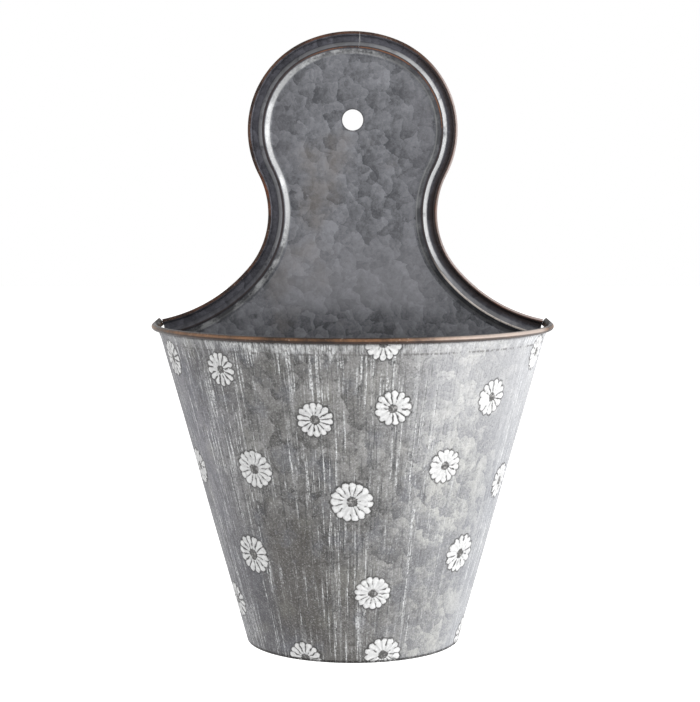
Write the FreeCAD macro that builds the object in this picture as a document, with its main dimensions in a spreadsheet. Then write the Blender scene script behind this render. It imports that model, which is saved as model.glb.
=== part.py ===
"""Wall planter of galvanised sheet: a half-round tapered pocket on a keyhole-shaped back plate.

Millimetres. The origin is the centre of the hanging hole on the wall plane. X points to the right,
Y into the wall and Z up, so the wall plane is Y = 0 and everything lies at Y <= 0.
"""
import FreeCAD, Part
import math
import os

import Sketcher

Vector = FreeCAD.Vector
RIGHT, LEFT = 1, -1
# Sketcher's own numbers: the points of a line or an arc, and the sketch's origin and upright axis.
START, END, CENTRE = range(1, 4)
ORIGIN, VERTICAL_AXIS = range(-1, -3, -1)

os.makedirs("parts", exist_ok=True)
doc = FreeCAD.newDocument("wall_planter")
sheet = doc.addObject("Spreadsheet::Sheet", "Sizes")

# ---------------------------------------------------------------- driving sizes
DRIVING = [
    ("sheet_gauge", 0.5, "thickness of every sheet"),
    ("fold_gap", 0.05, "clearance between folded layers"),
    ("hole_diameter", 12.5, "hanging hole"),
    ("edge_top", 52.3, "top of the back plate above the hanging hole"),
    ("crown_radius", 71.0, "outer edge across the top of the head"),
    ("head_radius", 57.4, "outer edge down the cheeks of the head"),
    ("head_spread", 5.1, "each cheek's centre from the middle"),
    ("waist_half_width", 50.5, "outer edge at the waist, from the middle"),
    ("waist_radius", 50.1, "hollow of the waist"),
    ("shoulder_radius", 92.4, "hollow of the shoulder"),
    ("corner_inset", 2.2, "end of the edge strips inside the line of the pocket's wall"),
    ("corner_rise", 3.5, "end of the edge strips above the rim line"),
    ("panel_corner_radius", 2.0, "corner where the panel turns down into the pocket"),
    ("flange_width", 6.0, "edge to the foot of the seam ridge"),
    ("ridge_height", 3.0, "seam ridge in front of the wall plane"),
    ("ridge_crest", 0.9, "flat along the top of the seam ridge"),
    ("outer_slope", 42.0, "degrees, edge side of the seam ridge"),
    ("inner_slope", 36.0, "degrees, panel side of the seam ridge"),
    ("seam_hem", 3.2, "hem folded down over the panel's lip"),
    ("joint_offset", 4.2, "joint of the two edge strips, right of the middle"),
    ("joint_gap", 0.15, "gap in that joint"),
    ("border_bore", 1.8, "hollow inside the back plate's rolled edge"),
    ("curl_turn", 295.0, "degrees, from the flange round that hollow to the sheet's end"),
    ("rim_drop", 122.3, "rim line below the hanging hole"),
    ("pocket_height", 191.0, "rim line to the bottom"),
    ("rim_radius", 116.5, "pocket's wall, outside, carried up to the rim line"),
    ("bottom_radius", 64.0, "pocket's wall, outside, at the bottom"),
    ("crease_drop", 8.0, "crease in the wall below the rim line"),
    ("rim_overhang", 2.1, "rim wire's centre outside the line of the wall"),
    ("rim_wire_diameter", 2.4, "wire in the rim"),
    ("rim_curl_turn", 312.0, "degrees, from level with the wire, over it and down, to the sheet's end"),
    ("loop_radius", 4.0, "bend of the rim where it turns in at the back plate"),
    ("loop_tilt", 40.0, "degrees, rise of that bend"),
    ("loop_turn", 98.0, "degrees, length of that bend"),
    ("side_seam_drop", 10.0, "top of the side seams below the rim line, past the panel's corner"),
    ("seam_shift", 2.5, "side seams nearer the edge than the seam of the edge strips"),
    ("seam_lift", 1.0, "foot of the side seams above the floor"),
    ("floor_lift", 3.5, "underside of the floor above the bottom edge"),
    ("hem_height", 3.0, "bottom hem, upward leg"),
    ("drain_diameter", 6.0, "drain holes in the floor"),
    ("drain_circle", 70.0, "diameter of the half circle that the drain holes lie on"),
    ("drain_back", 10.0, "centre of that circle in front of the wall"),
    ("drain_turn", 15.0, "degrees, outer drain holes forward of that circle's centre"),
]

# Sizes that follow from the driving ones.
DERIVED = [
    ("rim_level", "=-rim_drop"),
    ("bottom_level", "=-rim_drop - pocket_height"),
    ("taper", "=(rim_radius - bottom_radius) / pocket_height"),
    ("taper_angle", "=atan(taper) / 1deg"),
    ("wall_across", "=sheet_gauge / cos(taper_angle)"),
    ("gap_across", "=fold_gap / cos(taper_angle)"),
    # Outline of the back plate.
    ("joint_angle", "=asin(joint_offset / crown_radius) / 1deg"),
    ("joint_far_angle", "=asin((joint_offset + joint_gap) / crown_radius) / 1deg"),
    ("crown_centre", "=edge_top - crown_radius"),
    ("waist_centre", "=waist_half_width + waist_radius"),
    ("corner_x", "=rim_radius - corner_inset"),
    ("corner_z", "=rim_level + corner_rise"),
    # Rolled edges: the hollow in the roll, and the roll's outside.
    ("border_core", "=border_bore / 2"),
    ("border_roll", "=border_core + sheet_gauge"),
    ("curl_start", "=0"),
    ("full_turn", "=360"),
    ("rim_wire_half", "=rim_wire_diameter / 2"),
    ("rim_core", "=rim_wire_diameter / 2 + fold_gap"),
    ("rim_roll", "=rim_core + sheet_gauge"),
    # Seam ridge: distances in from the outer edge, and heights off the wall plane.
    ("crest_height", "=ridge_height - sheet_gauge"),
    ("outer_bend", "=sheet_gauge * tan(outer_slope / 2)"),
    ("inner_bend", "=sheet_gauge * tan(inner_slope / 2)"),
    ("crest_start", "=flange_width + crest_height / tan(outer_slope)"),
    ("crest_end", "=crest_start + ridge_crest"),
    ("hem_end", "=crest_end + seam_hem * cos(inner_slope)"),
    ("hem_end_height", "=crest_height - seam_hem * sin(inner_slope)"),
    ("hem_face", "=hem_end + sheet_gauge * sin(inner_slope)"),
    ("hem_face_height", "=hem_end_height + sheet_gauge * cos(inner_slope)"),
    # The panel's lip, which runs up inside that ridge.
    ("lip_rise", "=crest_height - sheet_gauge"),
    ("panel_inset", "=crest_end + lip_rise / tan(inner_slope) - fold_gap / sin(inner_slope)"),
    ("lip_face", "=crest_end - fold_gap * sin(inner_slope) + fold_gap * cos(inner_slope)"),
    ("lip_face_height", "=crest_height - fold_gap * cos(inner_slope) - fold_gap * sin(inner_slope)"),
    ("lip_back", "=lip_face - sheet_gauge * sin(inner_slope)"),
    ("lip_back_height", "=lip_face_height - sheet_gauge * cos(inner_slope)"),
    # Rim: the neck above the crease leans out and runs tangent into the curl.
    ("rim_wire_radius", "=rim_radius + rim_overhang"),
    ("crease_level", "=rim_level - crease_drop"),
    ("crease_radius", "=rim_radius - crease_drop * taper"),
    ("neck_lean", "=rim_wire_radius - crease_radius"),
    ("neck_reach", "=sqrt(neck_lean ^ 2 + crease_drop ^ 2)"),
    ("neck_angle", "=(atan(neck_lean / crease_drop) - asin(rim_core / neck_reach)) / 1deg"),
    ("neck_across", "=sheet_gauge / cos(neck_angle)"),
    ("neck_level", "=rim_level - rim_roll - 2 * fold_gap"),
    ("neck_radius", "=crease_radius + tan(neck_angle) * (neck_level - crease_level)"),
    ("neck_end_core", "=rim_core * cos(neck_angle)"),
    ("neck_end_roll", "=rim_roll * cos(neck_angle)"),
    ("neck_rise_core", "=rim_core * sin(neck_angle)"),
    ("neck_rise_roll", "=rim_roll * sin(neck_angle)"),
    ("rim_curl_end", "=180 - rim_curl_turn"),
    ("neck_side", "=180 - neck_angle"),
    ("loop_inset", "=loop_radius * cos(loop_tilt)"),
    ("loop_lift", "=loop_radius * sin(loop_tilt)"),
    ("loop_angle", "=asin((loop_radius + rim_roll + fold_gap) / (rim_wire_radius - loop_inset)) / 1deg"),
    ("roll_sweep", "=180 - 2 * loop_angle"),
    # Floor and bottom hems.
    ("floor_level", "=bottom_level + floor_lift"),
    ("floor_top", "=floor_level + sheet_gauge"),
    ("hem_floor", "=bottom_level + sheet_gauge"),
    ("hem_top", "=bottom_level + hem_height"),
    ("panel_hem_near", "=2 * sheet_gauge + 2 * fold_gap"),
    ("panel_hem_far", "=panel_hem_near + sheet_gauge"),
    ("fold_radius", "=bottom_radius + taper * sheet_gauge"),
    ("hem_top_radius", "=bottom_radius + taper * hem_height"),
    ("hem_near", "=2 * wall_across + 2 * gap_across"),
    ("hem_far", "=hem_near + wall_across"),
    ("skirt_level", "=hem_floor + fold_gap"),
    ("skirt_radius", "=bottom_radius + taper * (sheet_gauge + fold_gap) - wall_across - gap_across"),
    ("floor_radius", "=bottom_radius + taper * floor_lift - wall_across - gap_across"),
    ("floor_top_radius", "=floor_radius + taper * sheet_gauge"),
    ("floor_back", "=sheet_gauge + fold_gap"),
    ("skirt_back", "=floor_back + sheet_gauge"),
    ("skirt_reach", "=bottom_radius - hem_far - sheet_gauge"),
    ("drain_hole_radius", "=drain_diameter / 2"),
    ("drain_front", "=drain_back + drain_circle / 2"),
    ("drain_side", "=drain_circle / 2 * cos(drain_turn)"),
    ("drain_rear", "=drain_back + drain_circle / 2 * sin(drain_turn)"),
    # Side seams.
    ("seam_foot", "=floor_top + seam_lift"),
    ("seam_foot_radius", "=bottom_radius + taper * (seam_foot - bottom_level)"),
    ("seam_top", "=rim_level - side_seam_drop - panel_corner_radius"),
    ("seam_length", "=(seam_top - seam_foot) / cos(taper_angle)"),
    ("side_inset", "=(panel_inset - seam_shift) / cos(taper_angle)"),
    ("panel_bottom_x", "=bottom_radius - side_inset"),
    ("panel_foot_x", "=seam_foot_radius - side_inset"),
    ("half_gauge", "=sheet_gauge / 2"),
]

for row, (alias, number, meaning) in enumerate(DRIVING, start=1):
    sheet.set(f"A{row}", alias)
    sheet.set(f"B{row}", str(number))
    sheet.set(f"C{row}", meaning)
    sheet.setAlias(f"B{row}", alias)
for row, (alias, formula) in enumerate(DERIVED, start=len(DRIVING) + 2):
    sheet.set(f"A{row}", alias)
    sheet.set(f"B{row}", formula)
    sheet.setAlias(f"B{row}", alias)
doc.recompute()

# Flats that stand in for the round of a roll and of a wire, which keeps the long curved edges light.
RIM_FLAT_COUNT = 6
BORDER_FLAT_COUNT = 5
WIRE_FLAT_COUNT = 6


def size(alias):
    """The number in one cell of the sheet."""
    return float(getattr(sheet, alias))


# ---------------------------------------------------------------- helpers
def new_body(label):
    body = doc.addObject("PartDesign::Body", label)
    body.Label = label
    return body


def new_sketch(body, name, role):
    """A sketch on one of the body's own origin planes."""
    sketch = body.newObject("Sketcher::SketchObject", name)
    origin_plane = next(f for f in body.Origin.OriginFeatures if f.Role == role)
    sketch.AttachmentSupport = (origin_plane, [""])
    sketch.MapMode = "FlatFace"
    return sketch


def cells(terms):
    """A sum of cells such as ["edge_top", "-flange_width"], as an expression and as its value.

    A term may also be a pair of a formula and its value.
    """
    text, value = "0", 0.0
    for term in terms:
        if isinstance(term, tuple):
            text += f" + {term[0]}"
            value += term[1]
            continue
        alias = term.lstrip("-")
        sign = "-" if term.startswith("-") else "+"
        text += f" {sign} Sizes.{alias}"
        value += -size(alias) if sign == "-" else size(alias)
    return text, value


def dimension(sketch, kind, references, terms):
    """A constraint whose size is a sum of cells of the sheet."""
    text, value = cells(terms)
    index = sketch.addConstraint(Sketcher.Constraint(kind, *references, value))
    sketch.setExpression(f"Constraints[{index}]", text)


def pin(sketch, geometry, point, across, up):
    """Hold a point at two sums of cells from the sketch's origin; an empty sum is on the axis."""
    for kind, terms, axis in (("DistanceX", across, VERTICAL_AXIS), ("DistanceY", up, ORIGIN)):
        if terms:
            dimension(sketch, kind, (ORIGIN, 1, geometry, point), terms)
        else:
            sketch.addConstraint(Sketcher.Constraint("PointOnObject", geometry, point, axis))


def polygon(sketch, corners):
    """A closed outline of straight lines with every corner pinned."""
    spots = [Vector(cells(across)[1], cells(up)[1], 0) for across, up in corners]
    count = len(spots)
    lines = [
        sketch.addGeometry(Part.LineSegment(spots[index], spots[(index + 1) % count]), False)
        for index in range(count)
    ]
    for index, line in enumerate(lines):
        following = lines[(index + 1) % count]
        sketch.addConstraint(Sketcher.Constraint("Coincident", line, END, following, START))
        across, up = corners[index]
        pin(sketch, line, START, across, up)


def arc(centre, radius, start, end):
    """A counter-clockwise arc in a sketch, between two angles in radians."""
    circle = Part.Circle(centre, Vector(0, 0, 1), radius)
    return Part.ArcOfCircle(circle, start, end)


def disc(sketch, radius_alias, across, up):
    """A full circle with its centre pinned."""
    centre = Vector(cells(across)[1], cells(up)[1], 0)
    circle = Part.Circle(centre, Vector(0, 0, 1), size(radius_alias))
    index = sketch.addGeometry(circle, False)
    dimension(sketch, "Radius", (index,), [radius_alias])
    pin(sketch, index, CENTRE, across, up)


def flat_corner(centre, radius, first, last, share, half_flat=None):
    """A corner of a roll made in flats: a share of the way round from one angle to another.

    With half_flat, a share of the turn, the corner stands out so that the flats touch the radius.
    """
    across, up = centre
    turned = f"(Sizes.{first} + {share!r} * (Sizes.{last} - Sizes.{first}))"
    degrees = size(first) + share * (size(last) - size(first))
    reach, length = f"Sizes.{radius}", size(radius)
    if half_flat:
        reach += f" / cos({half_flat!r} * (Sizes.{last} - Sizes.{first}))"
        length /= math.cos(math.radians(half_flat * (size(last) - size(first))))
    x_term = (f"{reach} * cos({turned})", length * math.cos(math.radians(degrees)))
    y_term = (f"{reach} * sin({turned})", length * math.sin(math.radians(degrees)))
    return across + [x_term], up + [y_term]


def curl(sketch, core, roll, centre, first, last, flats):
    """A sheet rolled up in flats, seen end on; first and last are angles about the roll's centre."""
    half_flat = 0.5 / flats
    shares = [half_flat * (2 * flat + 1) for flat in range(flats)]
    corners = [flat_corner(centre, core, first, last, 0.0)]
    corners += [flat_corner(centre, core, first, last, share, half_flat) for share in shares]
    corners += [flat_corner(centre, core, first, last, 1.0), flat_corner(centre, roll, first, last, 1.0)]
    corners += [flat_corner(centre, roll, first, last, share, half_flat) for share in reversed(shares)]
    corners.append(flat_corner(centre, roll, first, last, 0.0))
    polygon(sketch, corners)


def heading(origin, target):
    return math.atan2(target.y - origin.y, target.x - origin.x)


def mirrored_point(vector):
    return Vector(-vector.x, vector.y, vector.z)


def long_arcs(sketch, least_radius):
    """Names of the sketch's arcs that are rounder than a radius."""
    numbered = enumerate(sketch.Shape.Edges, start=1)
    arcs = [(number, edge.Curve) for number, edge in numbered if edge.Curve.TypeId == "Part::GeomCircle"]
    return [f"Edge{number}" for number, circle in arcs if circle.Radius > least_radius]


def pad(body, name, sketch, length, midplane=False):
    feature = body.newObject("PartDesign::Pad", name)
    feature.Profile = sketch
    feature.setExpression("Length", length)
    feature.Midplane = midplane
    return feature


def pocket_through(body, name, sketch):
    """Cut the sketch's shapes right through the body, both ways from the sketch."""
    before = body.Shape.Volume
    feature = body.newObject("PartDesign::Pocket", name)
    feature.Profile = sketch
    feature.Type = "ThroughAll"
    feature.Midplane = True
    doc.recompute()
    if not body.Shape.Volume < before:
        raise RuntimeError(f"{name} cuts nothing")
    return feature


def pipe(body, name, profile, path):
    """Sweep a section along the arcs of a flat path, without its small corners."""
    doc.recompute()
    feature = body.newObject("PartDesign::AdditivePipe", name)
    feature.Profile = profile
    feature.Spine = (path, long_arcs(path, size("panel_corner_radius")))
    doc.recompute()
    return feature


def revolution(body, name, sketch, axis, angle_text, midplane=False, reverse=False):
    feature = body.newObject("PartDesign::Revolution", name)
    feature.Profile = sketch
    feature.ReferenceAxis = (sketch, [axis])
    feature.Midplane = midplane
    feature.Reversed = reverse
    feature.setExpression("Angle", angle_text)
    return feature


def mirror_across_middle(body, name, originals):
    """The left-hand copies of features, across the plane X = 0; the pattern ends the body."""
    feature = body.newObject("PartDesign::Mirrored", name)
    feature.Originals = originals
    middle = next(f for f in body.Origin.OriginFeatures if f.Role == "YZ_Plane")
    feature.MirrorPlane = (middle, [""])
    body.Tip = feature
    return feature


# ---------------------------------------------------------------- outline of the back plate
def edge_centres():
    """Centres of the crown, cheek, waist and shoulder arcs of the right half, in the wall plane."""
    crown = Vector(0, size("crown_centre"), 0)
    spread = size("head_spread")
    reach = size("crown_radius") - size("head_radius")
    cheek = Vector(spread, crown.y + math.sqrt(reach**2 - spread**2), 0)
    waist_x = size("waist_centre")
    reach = size("head_radius") + size("waist_radius")
    waist = Vector(waist_x, cheek.y - math.sqrt(reach**2 - (waist_x - spread) ** 2), 0)
    # The shoulder runs tangent out of the waist and ends in the corner.
    corner = Vector(size("corner_x"), size("corner_z"), 0)
    radius = size("shoulder_radius")
    between = corner.distanceToPoint(waist)
    along = (radius**2 - (radius - size("waist_radius")) ** 2 + between**2) / (2 * between)
    aside = math.sqrt(radius**2 - along**2)
    toward = (waist - corner).normalize()
    across = Vector(toward.y, -toward.x, 0)
    shoulder = corner + toward * along + across * aside
    return crown, cheek, waist, shoulder


def half_edge(side, inset, top_angle, end_angle):
    """Crown, cheek, waist and shoulder arcs of one half, drawn inset from the outer edge.

    top_angle and end_angle, both as on the right half, are where the crown and shoulder arcs end.
    """
    crown, cheek, waist, shoulder = edge_centres()
    brow = heading(crown, cheek)
    neck = heading(cheek, waist)
    hip = heading(shoulder, waist) % (2 * math.pi)
    spans = [
        (crown, size("crown_radius") - inset, brow, top_angle),
        (cheek, size("head_radius") - inset, neck, brow),
        (waist, size("waist_radius") + inset, neck + math.pi, hip),
        (shoulder, size("shoulder_radius") + inset, hip, end_angle),
    ]
    if side == RIGHT:
        return [arc(centre, radius, start, end) for centre, radius, start, end in spans]
    return [arc(mirrored_point(c), r, math.pi - end, math.pi - start) for c, r, start, end in spans]


# The ends that meet, from the crown down: crown to cheek, cheek to waist, waist to shoulder.
JOINTS = {
    RIGHT: [(START, END), (START, START), (END, START)],
    LEFT: [(END, START), (END, END), (START, END)],
}


def constrain_half(sketch, arcs, side, inset, with_crown=True):
    """Radii, centres and tangencies of one half; arcs are its four arcs from the crown down."""
    closer = ["-" + term for term in inset]
    sums = [["crown_radius"] + closer, ["head_radius"] + closer, ["waist_radius"] + inset,
            ["shoulder_radius"] + inset]
    for index, terms in list(zip(arcs, sums))[0 if with_crown else 1:]:
        dimension(sketch, "Radius", (index,), terms)
    for upper, lower, (upper_end, lower_end) in zip(arcs, arcs[1:], JOINTS[side]):
        sketch.addConstraint(Sketcher.Constraint("Tangent", upper, upper_end, lower, lower_end))
    sign = "" if side == RIGHT else "-"
    for index, alias in ((arcs[1], "head_spread"), (arcs[2], "waist_centre")):
        dimension(sketch, "DistanceX", (ORIGIN, 1, index, CENTRE), [sign + alias])
    if with_crown:
        pin(sketch, arcs[0], CENTRE, [], ["crown_centre"])


def corner_angle():
    """Where the outer edge ends on the right shoulder arc, about that arc's centre."""
    corner = Vector(size("corner_x"), size("corner_z"), 0)
    return heading(edge_centres()[3], corner) % (2 * math.pi)


def pin_corner(sketch, shoulder, side):
    """End a shoulder arc in the corner of the outer edge."""
    sign = "" if side == RIGHT else "-"
    pin(sketch, shoulder, END if side == RIGHT else START, [sign + "corner_x"], ["corner_z"])


def below_edge(*terms):
    """A distance in from the outer edge, at the crown."""
    return ["edge_top"] + ["-" + term for term in terms]


# ---------------------------------------------------------------- edge strips
def joint_path(body, name, side, joint):
    """The outer edge of one half in the wall plane, from the joint in the crown to the corner."""
    sketch = new_sketch(body, name, "XZ_Plane")
    turned = math.radians(size(joint))
    top_angle = math.pi / 2 - turned if side == RIGHT else math.pi / 2 + turned
    drawn = half_edge(side, 0.0, top_angle, corner_angle())
    arcs = [sketch.addGeometry(piece, False) for piece in drawn]
    constrain_half(sketch, arcs, side, [])
    pin_corner(sketch, arcs[3], side)
    joint_end = END if side == RIGHT else START
    across = Sketcher.Constraint(
        "DistanceX", ORIGIN, 1, arcs[0], joint_end, size("crown_radius") * math.sin(turned)
    )
    index = sketch.addConstraint(across)
    sketch.setExpression(f"Constraints[{index}]", f"Sizes.crown_radius * sin(Sizes.{joint})")
    return sketch


def stand_at_joint(sketch, joint):
    """Turn a sketch about the crown's centre until it stands across the edge at the joint."""
    turn = FreeCAD.Rotation(Vector(1, 0, 0), size(joint))
    sketch.AttachmentOffset = FreeCAD.Placement(Vector(), turn)
    sketch.setExpression("AttachmentOffset.Base.y", f"Sizes.crown_centre * (1 - cos(Sizes.{joint}))")
    sketch.setExpression("AttachmentOffset.Base.z", f"-Sizes.crown_centre * sin(Sizes.{joint})")
    sketch.setExpression("AttachmentOffset.Rotation.Angle", f"Sizes.{joint}")


def seam_ridge(foot_start, to_edge):
    """Corners of flange, ridge and hem; to_edge turns distances from the edge into a sum of cells."""
    return [
        ([], foot_start),
        ([], to_edge("flange_width")),
        (["-crest_height"], to_edge("crest_start")),
        (["-crest_height"], to_edge("crest_end")),
        (["-hem_end_height"], to_edge("hem_end")),
        (["-hem_face_height"], to_edge("hem_face")),
        (["-ridge_height"], to_edge("crest_end", "inner_bend")),
        (["-ridge_height"], to_edge("crest_start", "-outer_bend")),
        (["-sheet_gauge"], to_edge("flange_width", "-outer_bend")),
        (["-sheet_gauge"], foot_start),
    ]


def opposite(terms):
    return [term[1:] if term.startswith("-") else "-" + term for term in terms]


def edge_strip(label, side, joint):
    """Half of the border: rolled edge, flange, seam ridge and the hem over the panel's lip."""
    body = new_body(label)
    path = joint_path(body, label + "_path", side, joint)
    fold = new_sketch(body, label + "_fold", "YZ_Plane")
    stand_at_joint(fold, joint)
    polygon(fold, seam_ridge(below_edge("border_roll"), lambda *terms: ["edge_top"] + opposite(terms)))
    pipe(body, label + "_ridge", fold, path)
    doc.recompute()
    roll = new_sketch(body, label + "_curl", "YZ_Plane")
    stand_at_joint(roll, joint)
    centre = (["-border_roll"], below_edge("border_roll"))
    curl(roll, "border_core", "border_roll", centre, "curl_start", "curl_turn", BORDER_FLAT_COUNT)
    pipe(body, label + "_roll", roll, path)
    return body


# ---------------------------------------------------------------- back panel
def side_fold(body, name, corners):
    """A fold run up the right side; corners are across from the edge and off the wall plane."""
    fold = new_sketch(body, name + "_fold", "XY_Plane")
    turn = FreeCAD.Rotation(Vector(0, 1, 0), size("taper_angle"))
    fold.AttachmentOffset = FreeCAD.Placement(Vector(), turn)
    fold.setExpression("AttachmentOffset.Base.x", "Sizes.seam_foot_radius")
    fold.setExpression("AttachmentOffset.Base.z", "Sizes.seam_foot")
    fold.setExpression("AttachmentOffset.Rotation.Angle", "Sizes.taper_angle")
    polygon(fold, [(across + ["seam_shift"], up) for across, up in corners])
    return pad(body, name, fold, "Sizes.seam_length")


def side_line_x(level):
    """The panel's folded side line at a height, right half."""
    return size("panel_bottom_x") + size("taper") * (level - size("bottom_level"))


def panel_corner():
    """Centre of the panel's corner arc, where the shoulder turns down the side."""
    shoulder = edge_centres()[3]
    radius = size("panel_corner_radius")
    taper_angle = math.radians(size("taper_angle"))
    inward = radius / math.cos(taper_angle)
    reach = size("shoulder_radius") + size("panel_inset") + radius
    # On the line one corner radius inside the side line, the point one reach from the shoulder's centre.
    level = size("rim_level")
    foot = Vector(side_line_x(level) - inward, level, 0)
    upward = Vector(math.sin(taper_angle), math.cos(taper_angle), 0)
    offset = foot - shoulder
    half = offset.dot(upward)
    rest = offset.dot(offset) - reach**2
    return foot + upward * (-half - math.sqrt(half**2 - rest))


def panel_outline(body):
    """Closed outline of the flat panel."""
    sketch = new_sketch(body, "panel_outline", "XZ_Plane")
    inset = size("panel_inset")
    shoulder = edge_centres()[3]
    corner = panel_corner()
    shoulder_end = heading(shoulder, corner) % (2 * math.pi)
    taper_angle = math.radians(size("taper_angle"))
    radius = size("panel_corner_radius")
    low = Vector(math.cos(taper_angle), -math.sin(taper_angle), 0) * radius
    sides = {}
    for side in (RIGHT, LEFT):
        facing = (lambda point: point) if side == RIGHT else mirrored_point
        drawn = half_edge(side, inset, math.pi / 2, shoulder_end)
        start, end = -taper_angle, shoulder_end - math.pi
        turn = (start, end) if side == RIGHT else (math.pi - end, math.pi - start)
        drawn.append(arc(facing(corner), radius, *turn))
        foot = Vector(size("panel_foot_x"), size("seam_foot"), 0)
        drawn.append(Part.LineSegment(facing(corner + low), facing(foot)))
        sides[side] = [sketch.addGeometry(piece, False) for piece in drawn]
    feet = {}
    for side in (RIGHT, LEFT):
        facing = (lambda point: point) if side == RIGHT else mirrored_point
        foot = Vector(size("panel_foot_x"), size("seam_foot"), 0)
        base = Vector(size("panel_bottom_x"), size("bottom_level"), 0)
        feet[side] = sketch.addGeometry(Part.LineSegment(facing(foot), facing(base)), False)
    base = Vector(size("panel_bottom_x"), size("bottom_level"), 0)
    bottom = sketch.addGeometry(Part.LineSegment(base, mirrored_point(base)), False)

    for side in (RIGHT, LEFT):
        sign = "" if side == RIGHT else "-"
        arcs, turn, flank = sides[side][:4], sides[side][4], sides[side][5]
        constrain_half(sketch, arcs, side, ["panel_inset"])
        top_end, corner_end = (END, START) if side == RIGHT else (START, END)
        sketch.addConstraint(Sketcher.Constraint("PointOnObject", arcs[0], top_end, VERTICAL_AXIS))
        # The shoulder keeps its distance from the corner of the outer edge.
        mark = sketch.addGeometry(Part.Point(Vector(0, 0, 0)), True)
        pin(sketch, mark, START, [sign + "corner_x"], ["corner_z"])
        dimension(sketch, "Distance", (mark, START, arcs[3], CENTRE), ["shoulder_radius"])
        dimension(sketch, "Radius", (turn,), ["panel_corner_radius"])
        shoulder_end = END if side == RIGHT else START
        sketch.addConstraint(Sketcher.Constraint("Tangent", arcs[3], shoulder_end, turn, shoulder_end))
        sketch.addConstraint(Sketcher.Constraint("Tangent", turn, corner_end, flank, START))
        sketch.addConstraint(Sketcher.Constraint("Coincident", flank, END, feet[side], START))
        sketch.addConstraint(Sketcher.Constraint("Parallel", flank, feet[side]))
        pin(sketch, feet[side], START, [sign + "panel_foot_x"], ["seam_foot"])
        pin(sketch, feet[side], END, [sign + "panel_bottom_x"], ["bottom_level"])
        sketch.addConstraint(
            Sketcher.Constraint("Coincident", bottom, START if side == RIGHT else END, feet[side], END)
        )
    return sketch


def back_panel():
    """Flat sheet with a lip folded up all round the head and sides, and a hem along the bottom."""
    body = new_body("back_panel")
    outline = panel_outline(body)
    pad(body, "panel_sheet", outline, "Sizes.sheet_gauge")
    doc.recompute()
    lip = new_sketch(body, "panel_lip_fold", "YZ_Plane")
    polygon(
        lip,
        [
            ([], below_edge("panel_inset")),
            ([], ["edge_top", "-panel_inset", "inner_bend"]),
            (["-lip_back_height"], below_edge("lip_back")),
            (["-lip_face_height"], below_edge("lip_face")),
            (["-sheet_gauge"], below_edge("panel_inset")),
        ],
    )
    pipe(body, "panel_lip", lip, outline)
    side_lip = side_fold(
        body,
        "panel_side_lip",
        [
            (["-panel_inset"], []),
            (["-panel_inset", "inner_bend"], []),
            (["-lip_back"], ["-lip_back_height"]),
            (["-lip_face"], ["-lip_face_height"]),
            (["-panel_inset"], ["-sheet_gauge"]),
        ],
    )
    doc.recompute()
    mirror_across_middle(body, "panel_left_lip", [side_lip])
    doc.recompute()
    hem = new_sketch(body, "panel_hem_fold", "YZ_Plane")
    polygon(
        hem,
        [
            (["-sheet_gauge"], ["bottom_level"]),
            (["-sheet_gauge"], ["hem_floor"]),
            (["-panel_hem_near"], ["hem_floor"]),
            (["-panel_hem_near"], ["hem_top"]),
            (["-panel_hem_far"], ["hem_top"]),
            (["-panel_hem_far"], ["bottom_level"]),
        ],
    )
    pad(body, "panel_hem", hem, "2 * Sizes.panel_bottom_x", midplane=True)
    doc.recompute()
    hole = new_sketch(body, "hanging_hole_outline", "XZ_Plane")
    circle = hole.addGeometry(Part.Circle(Vector(), Vector(0, 0, 1), size("hole_diameter") / 2), False)
    dimension(hole, "Diameter", (circle,), ["hole_diameter"])
    hole.addConstraint(Sketcher.Constraint("Coincident", circle, CENTRE, ORIGIN, 1))
    pocket_through(body, "hanging_hole", hole)
    return body


# ---------------------------------------------------------------- rim
def stand_at_rim_end(sketch):
    """Turn an upright sketch about Z until it stands across the rim's right end."""
    turn = FreeCAD.Rotation(Vector(0, -1, 0), size("loop_angle"))
    sketch.AttachmentOffset = FreeCAD.Placement(Vector(), turn)
    sketch.setExpression("AttachmentOffset.Rotation.Angle", "Sizes.loop_angle")


def rim_roll(body, name, draw_section):
    """A section run along the rim in front, and bent in and up at both ends.

    draw_section(sketch, sign) draws it; sign is "-" where the sketch's X runs towards the wall.
    """
    along = new_sketch(body, name + "_section", "YZ_Plane")
    draw_section(along, "-")
    revolution(body, name + "_round", along, "V_Axis", "Sizes.roll_sweep", midplane=True)
    end = new_sketch(body, name + "_end_section", "XZ_Plane")
    stand_at_rim_end(end)
    draw_section(end, "")
    # The bend's axis stands inside the rim and leans out, square to the way the bend sets off.
    foot = Vector(size("rim_wire_radius") - size("loop_inset"), size("rim_level") + size("loop_lift"), 0)
    tilt = math.radians(size("loop_tilt"))
    lean = Vector(math.sin(tilt), math.cos(tilt), 0)
    axis = end.addGeometry(Part.LineSegment(foot, foot + lean * size("loop_radius")), True)
    pin(end, axis, START, ["rim_wire_radius", "-loop_inset"], ["rim_level", "loop_lift"])
    top_across = ["rim_wire_radius", "-loop_inset", "loop_lift"]
    pin(end, axis, END, top_across, ["rim_level", "loop_lift", "loop_inset"])
    bend = revolution(body, name + "_bend", end, "Axis0", "Sizes.loop_turn")
    doc.recompute()
    return bend


def rim_wire():
    """The wire that the rim is rolled round, with its two bent ends."""
    body = new_body("rim_wire")

    def section(sketch, sign):
        centre = ([sign + "rim_wire_radius"], ["rim_level"])
        shares = [(flat + 0.5) / WIRE_FLAT_COUNT for flat in range(WIRE_FLAT_COUNT)]
        around = ("rim_wire_half", "curl_start", "full_turn")
        polygon(sketch, [flat_corner(centre, *around, share) for share in shares])

    bend = rim_roll(body, "rim_wire", section)
    mirror_across_middle(body, "rim_wire_left_bend", [bend])
    return body


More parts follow.
